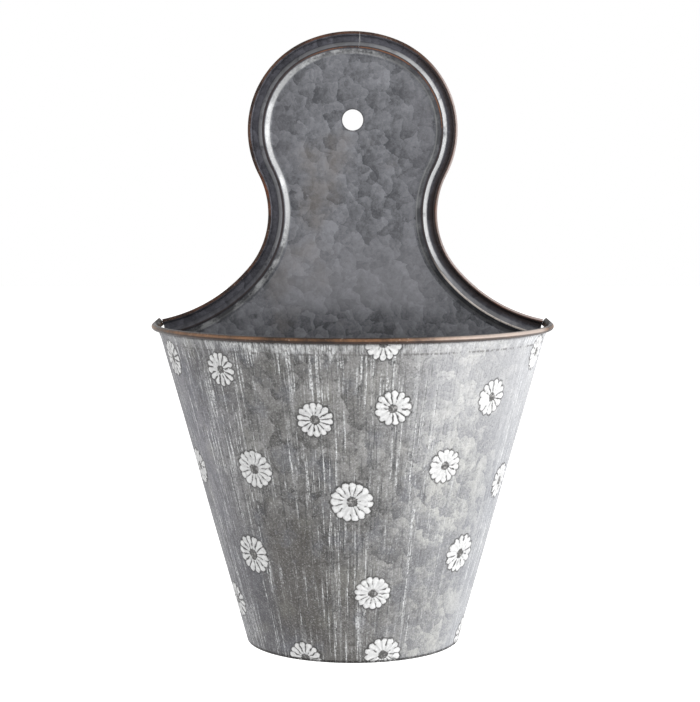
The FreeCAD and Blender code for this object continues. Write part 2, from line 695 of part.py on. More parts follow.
# ---------------------------------------------------------------- front shell
def shell_wall(body):
    """The tapered half-round wall with the hem that is folded up inside its bottom edge."""
    wall = new_sketch(body, "wall_section", "YZ_Plane")
    polygon(
        wall,
        [
            (["-bottom_radius"], ["bottom_level"]),
            (["-crease_radius"], ["crease_level"]),
            (["-neck_radius"], ["neck_level"]),
            (["-neck_radius", "neck_across"], ["neck_level"]),
            (["-crease_radius", "wall_across"], ["crease_level"]),
            (["-fold_radius", "wall_across"], ["hem_floor"]),
            (["-fold_radius", "hem_near"], ["hem_floor"]),
            (["-hem_top_radius", "hem_near"], ["hem_top"]),
            (["-hem_top_radius", "hem_far"], ["hem_top"]),
            (["-bottom_radius", "hem_far"], ["bottom_level"]),
        ],
    )
    revolution(body, "wall", wall, "V_Axis", "180", midplane=True)
    neck = new_sketch(body, "neck_section", "YZ_Plane")
    polygon(
        neck,
        [
            (["-neck_radius"], ["neck_level"]),
            (["-rim_wire_radius", "neck_end_core"], ["rim_level", "neck_rise_core"]),
            (["-rim_wire_radius", "neck_end_roll"], ["rim_level", "neck_rise_roll"]),
            (["-neck_radius", "neck_across"], ["neck_level"]),
        ],
    )
    revolution(body, "neck", neck, "V_Axis", "Sizes.roll_sweep", midplane=True)
    doc.recompute()


def shell_curl(body):
    """The sheet rolled outwards over the rim wire."""

    def section(sketch, sign):
        first, last = ("neck_angle", "rim_curl_turn") if sign else ("rim_curl_end", "neck_side")
        centre = ([sign + "rim_wire_radius"], ["rim_level"])
        curl(sketch, "rim_core", "rim_roll", centre, first, last, RIM_FLAT_COUNT)

    return rim_roll(body, "rim_curl", section)


def side_seam(body):
    """Flange turned in along the wall plane, with the ridge and hem that hold the panel's lip."""
    corners = seam_ridge(["-half_gauge", "-seam_shift"], lambda *terms: opposite(terms))
    return side_fold(body, "side_seam", [(across, up) for up, across in corners])


def front_shell():
    """One sheet: tapered wall, rolled rim, bottom hem and the seams down both sides."""
    body = new_body("front_shell")
    shell_wall(body)
    bend = shell_curl(body)
    seam = side_seam(body)
    doc.recompute()
    mirror_across_middle(body, "left_side", [bend, seam])
    return body


# ---------------------------------------------------------------- floor
def floor_plate():
    """Half-round floor with a skirt turned down all round, which the bottom hems grip."""
    body = new_body("floor_plate")
    section = new_sketch(body, "floor_section", "YZ_Plane")
    polygon(
        section,
        [
            ([], ["floor_level"]),
            (["-floor_radius", "sheet_gauge"], ["floor_level"]),
            (["-skirt_radius", "sheet_gauge"], ["skirt_level"]),
            (["-skirt_radius"], ["skirt_level"]),
            (["-floor_top_radius"], ["floor_top"]),
            ([], ["floor_top"]),
        ],
    )
    revolution(body, "floor_round", section, "V_Axis", "180", midplane=True)
    doc.recompute()
    behind = new_sketch(body, "room_for_panel", "XY_Plane")
    across = ["floor_top_radius", "sheet_gauge"]
    polygon(
        behind,
        [
            (across, ["-floor_back"]),
            (across, ["floor_back"]),
            (opposite(across), ["floor_back"]),
            (opposite(across), ["-floor_back"]),
        ],
    )
    pocket_through(body, "straight_back", behind)
    skirt = new_sketch(body, "rear_skirt_section", "YZ_Plane")
    polygon(
        skirt,
        [
            (["-floor_back"], ["skirt_level"]),
            (["-floor_back"], ["floor_top"]),
            (["-skirt_back"], ["floor_top"]),
            (["-skirt_back"], ["skirt_level"]),
        ],
    )
    pad(body, "rear_skirt", skirt, "2 * Sizes.skirt_reach", midplane=True)
    doc.recompute()
    drains = new_sketch(body, "drain_outlines", "XY_Plane")
    disc(drains, "drain_hole_radius", [], ["-drain_front"])
    disc(drains, "drain_hole_radius", ["drain_side"], ["-drain_rear"])
    disc(drains, "drain_hole_radius", ["-drain_side"], ["-drain_rear"])
    pocket_through(body, "drains", drains)
    return body


# ---------------------------------------------------------------- build
edge_strip("edge_strip_left", LEFT, "joint_angle")
edge_strip("edge_strip_right", RIGHT, "joint_far_angle")
back_panel()
rim_wire()
front_shell()
floor_plate()
doc.recompute()

NODES = [
    "back_panel",
    "edge_strip_left",
    "edge_strip_right",
    "front_shell",
    "rim_wire",
    "floor_plate",
]
for item in doc.Objects:
    if "Invalid" in item.State or "Error" in item.State:
        raise RuntimeError(f"{item.Name}: {item.State}")
for node in NODES:
    shape = doc.getObject(node).Shape
    if shape.isNull() or not shape.isValid() or len(shape.Solids) != 1:
        raise RuntimeError(f"{node} is not one valid solid")
    shape.exportStep(f"parts/{node}.step")
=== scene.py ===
"""Looks of the galvanised wall planter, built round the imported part.

Metres, in the part's frame: the origin is the centre of the hanging hole on the wall plane, X is to
the right, Y into the wall and Z up. Lengths are written in millimetres and turned into metres where
meshes are made. Materials read places in metres.
"""

import math

import bpy
import numpy as np
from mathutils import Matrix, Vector


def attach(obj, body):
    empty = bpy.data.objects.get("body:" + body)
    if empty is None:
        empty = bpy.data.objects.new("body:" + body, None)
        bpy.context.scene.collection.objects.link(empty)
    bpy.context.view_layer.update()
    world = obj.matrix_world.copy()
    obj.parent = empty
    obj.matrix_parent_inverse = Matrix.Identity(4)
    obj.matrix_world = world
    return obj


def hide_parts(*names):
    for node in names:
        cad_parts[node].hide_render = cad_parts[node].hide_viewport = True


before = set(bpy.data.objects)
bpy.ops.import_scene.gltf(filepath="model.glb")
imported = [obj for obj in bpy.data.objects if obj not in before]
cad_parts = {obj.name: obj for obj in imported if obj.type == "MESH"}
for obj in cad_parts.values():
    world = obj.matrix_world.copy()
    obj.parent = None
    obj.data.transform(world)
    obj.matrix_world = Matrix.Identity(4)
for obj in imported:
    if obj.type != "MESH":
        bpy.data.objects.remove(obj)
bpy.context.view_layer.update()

MM = 0.001
TAU = 2 * math.pi

# ---------------------------------------------------------------- sizes, as in the part
SHEET = 0.5
FOLD_GAP = 0.05
HOLE_RADIUS = 6.25
EDGE_TOP = 52.3
CROWN_RADIUS = 71.0
HEAD_RADIUS = 57.4
HEAD_SPREAD = 5.1
WAIST_HALF_WIDTH = 50.5
WAIST_RADIUS = 50.1
SHOULDER_RADIUS = 92.4
RIM_LEVEL = -122.3
CORNER = (114.3, -118.8)
RIDGE_HEIGHT = 3.0
FLANGE_WIDTH = 6.0
RIDGE_CREST = 0.9
OUTER_SLOPE = math.radians(42.0)
HEM_END = (12.7, 0.62)
HEM_TOE = (14.4, 0.24)
BORDER_ROLL = 1.4
BORDER_TURN = math.radians(295.0)
JOINT_OFFSET = 4.2
JOINT_GAP = 0.04
RIM_RADIUS = 116.5
BOTTOM_RADIUS = 64.0
POCKET_HEIGHT = 191.0
CREASE_DROP = 8.0
RIM_OVERHANG = 2.1
RIM_ROLL = 1.75
RIM_WIRE = 1.2
RIM_TURN = math.radians(312.0)
LOOP_RADIUS = 4.0
LOOP_TILT = math.radians(40.0)
LOOP_TURN = math.radians(98.0)
HEM_HEIGHT = 3.0
SIDE_EDGE = 2.5
SIDE_SEAM_FOOT = 5.0
SIDE_SEAM_DROP = 12.0

BOTTOM_LEVEL = RIM_LEVEL - POCKET_HEIGHT
TAPER = (RIM_RADIUS - BOTTOM_RADIUS) / POCKET_HEIGHT
LEAN = math.atan(TAPER)
CREASE_LEVEL = RIM_LEVEL - CREASE_DROP
CREASE_RADIUS = RIM_RADIUS - CREASE_DROP * TAPER
RIM_WIRE_RADIUS = RIM_RADIUS + RIM_OVERHANG
NECK_TOP = RIM_LEVEL - RIM_ROLL - 2 * FOLD_GAP
LOOP_REACH = RIM_WIRE_RADIUS - LOOP_RADIUS * math.cos(LOOP_TILT)
LOOP_ANGLE = math.asin((LOOP_RADIUS + RIM_ROLL + FOLD_GAP) / LOOP_REACH)

# ---------------------------------------------------------------- fineness of the meshes
EDGE_SPACING = 1.1
WALL_SPACING = 0.65
# The wall's spacing round the pocket holds at this share of the rim's radius.
GIRTH_SHARE = 0.8
FOLD_ROUND = 0.9
ROLL_STEPS = 26
ROLL_LEAD = 0.3
RIM_STATIONS = 320
LOOP_STATIONS = 24
RIM_STEPS = 34
# Lengths up the neck at which the rim's sheet has a point before it rolls.
RIM_LEAD = (2.8, 2.0, 1.2, 0.6)
WIRE_STEPS = 24
SEAM_STATIONS = 60

# Daisies: degrees right of the front, height below the rim line, diameter, turn in degrees, petals.
DAISIES = [
    (-68.0, 16.0, 21.5, 8.0, 13),
    (-41.5, 18.5, 20.0, 0.0, 13),
    (-11.6, 44.8, 20.5, 5.0, 14),
    (12.1, 38.0, 20.5, 12.0, 13),
    (8.2, 1.2, 20.5, 0.0, 14),
    (47.2, 35.4, 21.5, 7.0, 13),
    (70.6, 13.0, 21.5, 3.0, 14),
    (-35.3, 75.6, 23.0, 10.0, 15),
    (-72.3, 81.0, 21.5, 0.0, 14),
    (32.4, 73.4, 20.5, 4.0, 14),
    (-0.4, 92.2, 24.0, 9.0, 15),
    (69.0, 89.0, 21.0, 0.0, 13),
    (-44.8, 128.3, 23.5, 6.0, 14),
    (49.9, 128.8, 23.0, 11.0, 14),
    (8.5, 147.3, 20.5, 2.0, 15),
    (-71.0, 162.0, 21.5, 0.0, 13),
    (-25.1, 189.3, 20.5, 5.0, 14),
    (15.3, 185.8, 21.5, 0.0, 14),
    (78.0, 185.0, 22.0, 7.0, 13),
]
# A petal is a club: two circles along its middle line and what lies between, as shares of the daisy.
PETAL_ROOT = 0.33
PETAL_ROOT_HALF = 0.062
PETAL_HEAD = 0.82
PETAL_HEAD_HALF = 0.165
PETAL_WAIST = 0.024
DISC_SHARE = 0.23
RELIEF = 0.45
DISC_RELIEF = 0.3
PRESSED_DEPTH = 0.08
PRESSED_SHARE = 1.06
# A point this many radii from a daisy's centre, or nearer, can carry its paint.
DAISY_REACH = 1.35


# ---------------------------------------------------------------- meshes
def add_mesh(name, points, faces):
    """A smooth-shaded mesh object from points in millimetres and an array of quads."""
    mesh = bpy.data.meshes.new(name)
    points = np.asarray(points, np.float32) * MM
    faces = np.asarray(faces, np.int32)
    mesh.vertices.add(len(points))
    mesh.vertices.foreach_set("co", points.ravel())
    mesh.loops.add(faces.size)
    mesh.loops.foreach_set("vertex_index", faces.ravel())
    mesh.polygons.add(len(faces))
    mesh.polygons.foreach_set("loop_start", np.arange(0, faces.size, 4, dtype=np.int32))
    mesh.polygons.foreach_set("loop_total", np.full(len(faces), 4, np.int32))
    mesh.update(calc_edges=True)
    mesh.polygons.foreach_set("use_smooth", np.full(len(faces), True))
    piece = bpy.data.objects.new(name, mesh)
    bpy.context.scene.collection.objects.link(piece)
    return piece


def add_field(piece, name, values):
    """A number at each vertex, for a material to read."""
    field = piece.data.attributes.new(name, "FLOAT", "POINT")
    field.data.foreach_set("value", np.asarray(values, np.float32).ravel())


def skin(stations, count):
    """Quads round a closed section of so many points, from station to station."""
    here = np.arange(stations * count).reshape(stations, count)
    after = np.roll(here, -1, axis=1)
    return np.stack([here[:-1], after[:-1], after[1:], here[1:]], axis=-1).reshape(-1, 4)


def sharpen(piece, chosen):
    """Keep the edges between the chosen points crisp in smooth shading."""
    mesh = piece.data
    ends = np.empty(len(mesh.edges) * 2, np.int32)
    mesh.edges.foreach_get("vertices", ends)
    sharp = chosen[ends.reshape(-1, 2)].all(axis=1)
    mesh.attributes.new("sharp_edge", "BOOLEAN", "EDGE").data.foreach_set("value", sharp)


def sweep(name, rings, crisp=True):
    """A closed solid from a section carried along a route; rings is stations by section points by three.

    The first half of the section's points runs down one face and the second half back up the other,
    so the ends are filled by pairing the halves. A crisp section keeps its edges there and at its ends.
    """
    rings = np.asarray(rings, float)
    stations, count, _ = rings.shape
    half = count // 2
    fill = []
    for base, flip in ((0, True), ((stations - 1) * count, False)):
        for index in range(half - 1):
            quad = [base + index, base + index + 1, base + count - 2 - index, base + count - 1 - index]
            fill.append(quad[::-1] if flip else quad)
    faces = np.vstack([skin(stations, count), np.array(fill, int)])
    piece = add_mesh(name, rings.reshape(-1, 3), faces)
    if crisp:
        corners = np.zeros((stations, count), bool)
        corners[[0, -1]] = True
        corners[:, [0, half - 1, half, -1]] = True
        sharpen(piece, corners.ravel())
    return piece


def strip_section(line):
    """Both faces of a sheet that follows a middle line, as one closed run of points."""
    line = np.asarray(line, float)
    along = np.gradient(line, axis=0)
    along /= np.linalg.norm(along, axis=1)[:, None]
    aside = np.stack([-along[:, 1], along[:, 0]], axis=1) * SHEET / 2
    return np.vstack([line + aside, (line - aside)[::-1]])


def rounded(corners, radius, steps=5):
    """A polyline with its inner corners rounded off."""
    corners = [np.asarray(corner, float) for corner in corners]
    line = [corners[0]]
    for before, corner, after in zip(corners, corners[1:], corners[2:]):
        back = before - corner
        ahead = after - corner
        back_length = np.linalg.norm(back)
        ahead_length = np.linalg.norm(ahead)
        turn = math.acos(np.clip(back @ ahead / back_length / ahead_length, -1, 1))
        cut = min(radius / math.tan(turn / 2), 0.45 * back_length, 0.45 * ahead_length)
        start = corner + back / back_length * cut
        end = corner + ahead / ahead_length * cut
        for share in np.linspace(0, 1, steps + 1):
            line.append((1 - share) ** 2 * start + 2 * share * (1 - share) * corner + share**2 * end)
    line.append(corners[-1])
    return line


def smooth_step(values, low, high):
    share = np.clip((values - low) / (high - low), 0, 1)
    return share * share * (3 - 2 * share)


def finish_piece(piece, node):
    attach(piece, "root")
    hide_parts(node)
    return piece


# ---------------------------------------------------------------- outline of the back plate
def edge_centres():
    """Centres of the crown, cheek, waist and shoulder arcs of the right half."""
    crown = np.array([0.0, EDGE_TOP - CROWN_RADIUS])
    reach = CROWN_RADIUS - HEAD_RADIUS
    cheek = np.array([HEAD_SPREAD, crown[1] + math.sqrt(reach**2 - HEAD_SPREAD**2)])
    waist_x = WAIST_HALF_WIDTH + WAIST_RADIUS
    reach = HEAD_RADIUS + WAIST_RADIUS
    waist = np.array([waist_x, cheek[1] - math.sqrt(reach**2 - (waist_x - HEAD_SPREAD) ** 2)])
    corner = np.array(CORNER)
    between = np.linalg.norm(waist - corner)
    along = (SHOULDER_RADIUS**2 - (SHOULDER_RADIUS - WAIST_RADIUS) ** 2 + between**2) / (2 * between)
    aside = math.sqrt(SHOULDER_RADIUS**2 - along**2)
    toward = (waist - corner) / between
    shoulder = corner + toward * along + np.array([toward[1], -toward[0]]) * aside
    return crown, cheek, waist, shoulder


def heading(origin, target):
    return math.atan2(target[1] - origin[1], target[0] - origin[0])


def edge_route(joint_offset):
    """Points of the right half's outer edge from the joint to the corner, with the inward direction."""
    crown, cheek, waist, shoulder = edge_centres()
    brow = heading(crown, cheek)
    neck = heading(cheek, waist)
    hip = heading(shoulder, waist)
    joint = math.pi / 2 - math.asin(joint_offset / CROWN_RADIUS)
    spans = [
        (crown, CROWN_RADIUS, joint, brow, -1),
        (cheek, HEAD_RADIUS, brow, neck, -1),
        (waist, WAIST_RADIUS, neck + math.pi, hip, 1),
        (shoulder, SHOULDER_RADIUS, hip, heading(shoulder, CORNER), 1),
    ]
    spots, inward = [], []
    for centre, radius, first, last, side in spans:
        turn = (last - first + math.pi) % TAU - math.pi
        steps = max(int(abs(turn) * radius / EDGE_SPACING), 2)
        for share in np.arange(steps + (centre is shoulder)) / steps:
            ray = np.array([math.cos(first + turn * share), math.sin(first + turn * share)])
            spots.append(centre + ray * radius)
            inward.append(ray * side)
    return np.array(spots), np.array(inward)


# ---------------------------------------------------------------- edge strips
def seam_line(start):
    """Middle line of a seam's section: distance in from the edge, and height off the wall.

    The hem runs down the panel's lip and lies nearly flat on the panel at its end.
    """
    half = SHEET / 2
    crest = RIDGE_HEIGHT - half
    crest_start = FLANGE_WIDTH + (crest - half) / math.tan(OUTER_SLOPE)
    crest_end = crest_start + RIDGE_CREST
    folds = [HEM_TOE, HEM_END, (crest_end, crest), (crest_start, crest), (FLANGE_WIDTH, half)]
    return rounded(folds + [(start, half)], FOLD_ROUND)


def border_line():
    """The edge strip's section: the seam and the rolled edge."""
    line = seam_line(BORDER_ROLL + ROLL_LEAD)
    roll = BORDER_ROLL - SHEET / 2
    for turned in np.linspace(0, BORDER_TURN, ROLL_STEPS):
        line.append(np.array([BORDER_ROLL - roll * math.sin(turned), BORDER_ROLL - roll * math.cos(turned)]))
    return line


def edge_strip(name, side, joint_offset):
    """Half of the border, swept along the outer edge."""
    section = strip_section(border_line())
    rings = []
    for spot, inner in zip(*edge_route(joint_offset)):
        across = spot + section[:, :1] * inner
        rings.append(np.stack([across[:, 0] * side, -section[:, 1], across[:, 1]], axis=1))
    piece = sweep(name, rings[::side])
    add_field(piece, "in_from_edge", np.tile(section[:, 0], len(rings)))
    add_field(piece, "off_wall", np.tile(section[:, 1], len(rings)))
    return finish_piece(piece, name)


# ---------------------------------------------------------------- pocket
def neck_angle():
    """Lean of the neck, which runs from the crease tangent into the rim's roll."""
    reach = math.hypot(RIM_WIRE_RADIUS - CREASE_RADIUS, CREASE_DROP)
    lean = math.atan((RIM_WIRE_RADIUS - CREASE_RADIUS) / CREASE_DROP)
    return lean - math.asin((RIM_ROLL - SHEET) / reach)


NECK = neck_angle()


def daisy_frame(turn, drop):
    """Centre of a daisy on the wall, and its directions to the right and down the wall."""
    level = RIM_LEVEL - drop
    radius = BOTTOM_RADIUS + TAPER * (level - BOTTOM_LEVEL)
    azimuth = math.radians(turn)
    ray = np.array([math.sin(azimuth), -math.cos(azimuth), 0.0])
    right = np.array([math.cos(azimuth), math.sin(azimuth), 0.0])
    down = -ray * math.sin(LEAN) - np.array([0.0, 0.0, math.cos(LEAN)])
    return ray * radius + np.array([0.0, 0.0, level]), right, down


def daisy_fields(points):
    """For each point, how far across and down it lies on the nearest daisy, as shares of the daisy's
    radius, with the daisy's number of petals and its radius.
    """
    best = np.full(len(points), np.inf)
    across, down, petals, radii = np.zeros((4, len(points)))
    for turn, drop, diameter, spin, count in DAISIES:
        centre, right, downward = daisy_frame(turn, drop)
        offset = points - centre
        distance = np.linalg.norm(offset, axis=1)
        near = distance < best
        best[near] = distance[near]
        radius = diameter / 2
        spun = math.radians(spin)
        x = offset @ right / radius
        y = offset @ downward / radius
        across[near] = (x * math.cos(spun) - y * math.sin(spun))[near]
        down[near] = (x * math.sin(spun) + y * math.cos(spun))[near]
        petals[near] = count
        radii[near] = radius
    return across, down, petals, radii


def petal_distance(across, down, petals):
    """Distance outside the nearest petal, as a share of the daisy's radius."""
    length = np.hypot(across, down)
    turned = np.arctan2(across, down)
    step = TAU / petals
    off = turned - np.round(turned / step) * step
    along = length * np.cos(off)
    aside = length * np.sin(off)
    held = np.clip(along, PETAL_ROOT, PETAL_HEAD)
    share = (held - PETAL_ROOT) / (PETAL_HEAD - PETAL_ROOT)
    half = PETAL_ROOT_HALF + (PETAL_HEAD_HALF - PETAL_ROOT_HALF) * share
    half -= 4 * PETAL_WAIST * share * (1 - share)
    return np.hypot(along - held, aside) - half


def relief_height(across, down, petals, radii):
    """How far the daisies stand out of the wall, in millimetres, with every edge a little soft."""
    petal = smooth_step(-petal_distance(across, down, petals) * radii, -0.25, 0.35)
    length = np.hypot(across, down)
    disc = smooth_step((DISC_SHARE - length) * radii, -0.2, 0.5)
    pressed = smooth_step((PRESSED_SHARE - length) * radii, -0.5, 0.5)
    return petal * RELIEF + disc * DISC_RELIEF - pressed * PRESSED_DEPTH


def wave_height(azimuth, level):
    """Hand-worked sheet is never quite even: waves of a tenth of a millimetre along and across it."""
    wave = 0.12 * np.sin(azimuth * 7.3 + level * 0.021) * np.sin(level * 0.043 + azimuth * 2.1)
    wave += 0.06 * np.sin(azimuth * 17.0 - level * 0.05 + 1.3)
    fade = smooth_step(level, BOTTOM_LEVEL + 4, BOTTOM_LEVEL + 20)
    fade = fade * smooth_step(CREASE_LEVEL - level, 1, 10)
    return wave * fade * smooth_step(math.pi / 2 - np.abs(azimuth), 0.0, 0.15)


def wall_section():
    """Closed run round the wall's section: radius and level, share of relief, and whether outside."""
    tilt_up = np.array([math.sin(LEAN), math.cos(LEAN)])
    normal = np.array([math.cos(LEAN), -math.sin(LEAN)])
    crease = np.array([CREASE_RADIUS, CREASE_LEVEL])
    neck = crease + np.array([math.tan(NECK), 1.0]) * (NECK_TOP - CREASE_LEVEL)
    foot = np.array([BOTTOM_RADIUS, BOTTOM_LEVEL])
    # Down the outside, round the bottom fold and up the hem's leg. Each spot of the fold and the hem
    # is given by its distances up the wall and in from the wall's outside.
    steps = int(np.linalg.norm(crease - foot) / WALL_SPACING)
    outer = [(neck + (crease - neck) * share, 0.0) for share in np.linspace(0, 1, 5)]
    outer += [(crease + (foot - crease) * index / steps, 1.0) for index in range(1, steps - 1)]
    outer.append((foot + tilt_up * 0.45, 1.0))
    fold = [(0.15, 0.06), (0.0, 0.3), (0.0, 1.45), (0.15, 1.68), (0.5, 1.74)]
    outer += [(foot + tilt_up * up - normal * inward, 0.0) for up, inward in fold]
    # Over the hem's top, down between hem and wall, and up the inside.
    hem_top = HEM_HEIGHT / math.cos(LEAN)
    hem = [(hem_top, 1.7), (hem_top + 0.1, 1.5), (hem_top, 1.25), (0.8, 1.2), (0.55, 0.85), (0.8, SHEET)]
    inner = [(foot + tilt_up * up - normal * inward, 0.0) for up, inward in hem]
    start = foot + tilt_up * 2.0 - normal * SHEET
    end = crease - np.array([SHEET / math.cos(LEAN), 0])
    inner += [(start + (end - start) * share, 1.0) for share in np.linspace(0, 1, steps // 3 + 1)]
    inner.append((neck - np.array([SHEET / math.cos(NECK), 0]), 0.0))
    spots = np.array([spot for spot, _ in outer + inner])
    share = np.array([relief for _, relief in outer + inner])
    return spots, share, np.arange(len(spots)) < len(outer)


def pocket_wall():
    """The tapered half-round wall, pressed out into daisies, with its bottom hem."""
    spots, share, outside = wall_section()
    stations = int(math.pi * RIM_RADIUS * GIRTH_SHARE / WALL_SPACING) + 1
    azimuth = np.repeat(np.linspace(-math.pi / 2, math.pi / 2, stations), len(spots))
    radius, level = np.tile(spots.T, stations)
    ray = np.stack([np.sin(azimuth), -np.cos(azimuth), np.zeros_like(azimuth)], axis=-1)
    up = np.array([0.0, 0.0, 1.0])
    even = ray * radius[:, None] + up * level[:, None]
    across, down, petals, radii = daisy_fields(even)
    height = relief_height(across, down, petals, radii) * np.tile(share, stations)
    height += wave_height(azimuth, level)
    moved = even + (ray * math.cos(LEAN) - up * math.sin(LEAN)) * height[:, None]
    moved[:, 1] = np.minimum(moved[:, 1], 0.0)
    piece = add_mesh("pocket_wall", moved, skin(stations, len(spots))[:, [0, 3, 2, 1]])
    outside = np.tile(outside.astype(float), stations)
    add_field(piece, "daisy_across", across)
    add_field(piece, "daisy_down", down)
    add_field(piece, "daisy_petals", petals)
    add_field(piece, "turn", azimuth)
    add_field(piece, "outside", outside)
    add_field(piece, "on_daisy", outside * (np.hypot(across, down) < DAISY_REACH))
    return finish_piece(piece, "front_shell")


def side_seam(name, side):
    """The flange and seam that run down beside the panel inside the pocket."""
    section = strip_section(seam_line(SIDE_EDGE + SHEET / 2))
    across = SIDE_EDGE - section[:, 0]
    rings = []
    for level in np.linspace(BOTTOM_LEVEL + SIDE_SEAM_FOOT, RIM_LEVEL - SIDE_SEAM_DROP, SEAM_STATIONS):
        radius = BOTTOM_RADIUS + TAPER * (level - BOTTOM_LEVEL)
        place = [side * (radius + across * math.cos(LEAN)), -section[:, 1], level - across * math.sin(LEAN)]
        rings.append(np.stack(place, axis=1))
    return finish_piece(sweep(name, rings[::side]), "front_shell")


def turned_about(axis, vector, angle):
    """A vector turned about an axis."""
    lengthwise = axis * (vector @ axis)
    rest = vector - lengthwise
    return lengthwise + rest * math.cos(angle) + np.cross(axis, rest) * math.sin(angle)


def rim_bend(side):
    """Stations of the bend at one end of the rim, which turns up and back in behind the plate."""
    half = math.pi / 2 - LOOP_ANGLE
    ray = np.array([side * math.sin(half), -math.cos(half), 0.0])
    up = np.array([0.0, 0.0, 1.0])
    start = ray * RIM_WIRE_RADIUS + up * RIM_LEVEL
    arm = (ray * math.cos(LOOP_TILT) - up * math.sin(LOOP_TILT)) * LOOP_RADIUS
    axis = ray * math.sin(LOOP_TILT) + up * math.cos(LOOP_TILT)
    stations = []
    for angle in np.linspace(0, side * LOOP_TURN, LOOP_STATIONS)[1:]:
        centre = start - arm + turned_about(axis, arm, angle)
        stations.append((centre, turned_about(axis, ray, angle), turned_about(axis, up, angle)))
    return stations


def rim_stations():
    """Places along the rim: centre of the roll, direction across it (outward) and direction up."""
    up = np.array([0.0, 0.0, 1.0])
    half = math.pi / 2 - LOOP_ANGLE
    stations = []
    for turned in np.linspace(-half, half, RIM_STATIONS):
        ray = np.array([math.sin(turned), -math.cos(turned), 0.0])
        stations.append((ray * RIM_WIRE_RADIUS + up * RIM_LEVEL, ray, up))
    return rim_bend(-1)[::-1] + stations + rim_bend(1)


def rim():
    """The rolled rim and the wire in it."""
    middle = RIM_ROLL - SHEET / 2
    line = [middle * np.array([-math.cos(t), math.sin(t)]) for t in np.linspace(NECK, RIM_TURN, RIM_STEPS)]
    neck = np.array([math.sin(NECK), math.cos(NECK)])
    lead = [line[0] - neck * length for length in RIM_LEAD]
    section = strip_section(lead + line)
    turns = np.arange(WIRE_STEPS)[:, None] * TAU / WIRE_STEPS
    wire = RIM_WIRE * np.hstack([np.cos(turns), np.sin(turns)])
    stations = rim_stations()

    def carried(outline):
        return [centre + outline[:, :1] * out + outline[:, 1:] * up for centre, out, up in stations]

    roll = sweep("rim_roll", carried(section))
    add_field(roll, "round", np.tile(np.arctan2(section[:, 1], section[:, 0]), len(stations)))
    rod = sweep("rim_wire_round", carried(wire), crisp=False)
    return finish_piece(roll, "front_shell"), finish_piece(rod, "rim_wire")


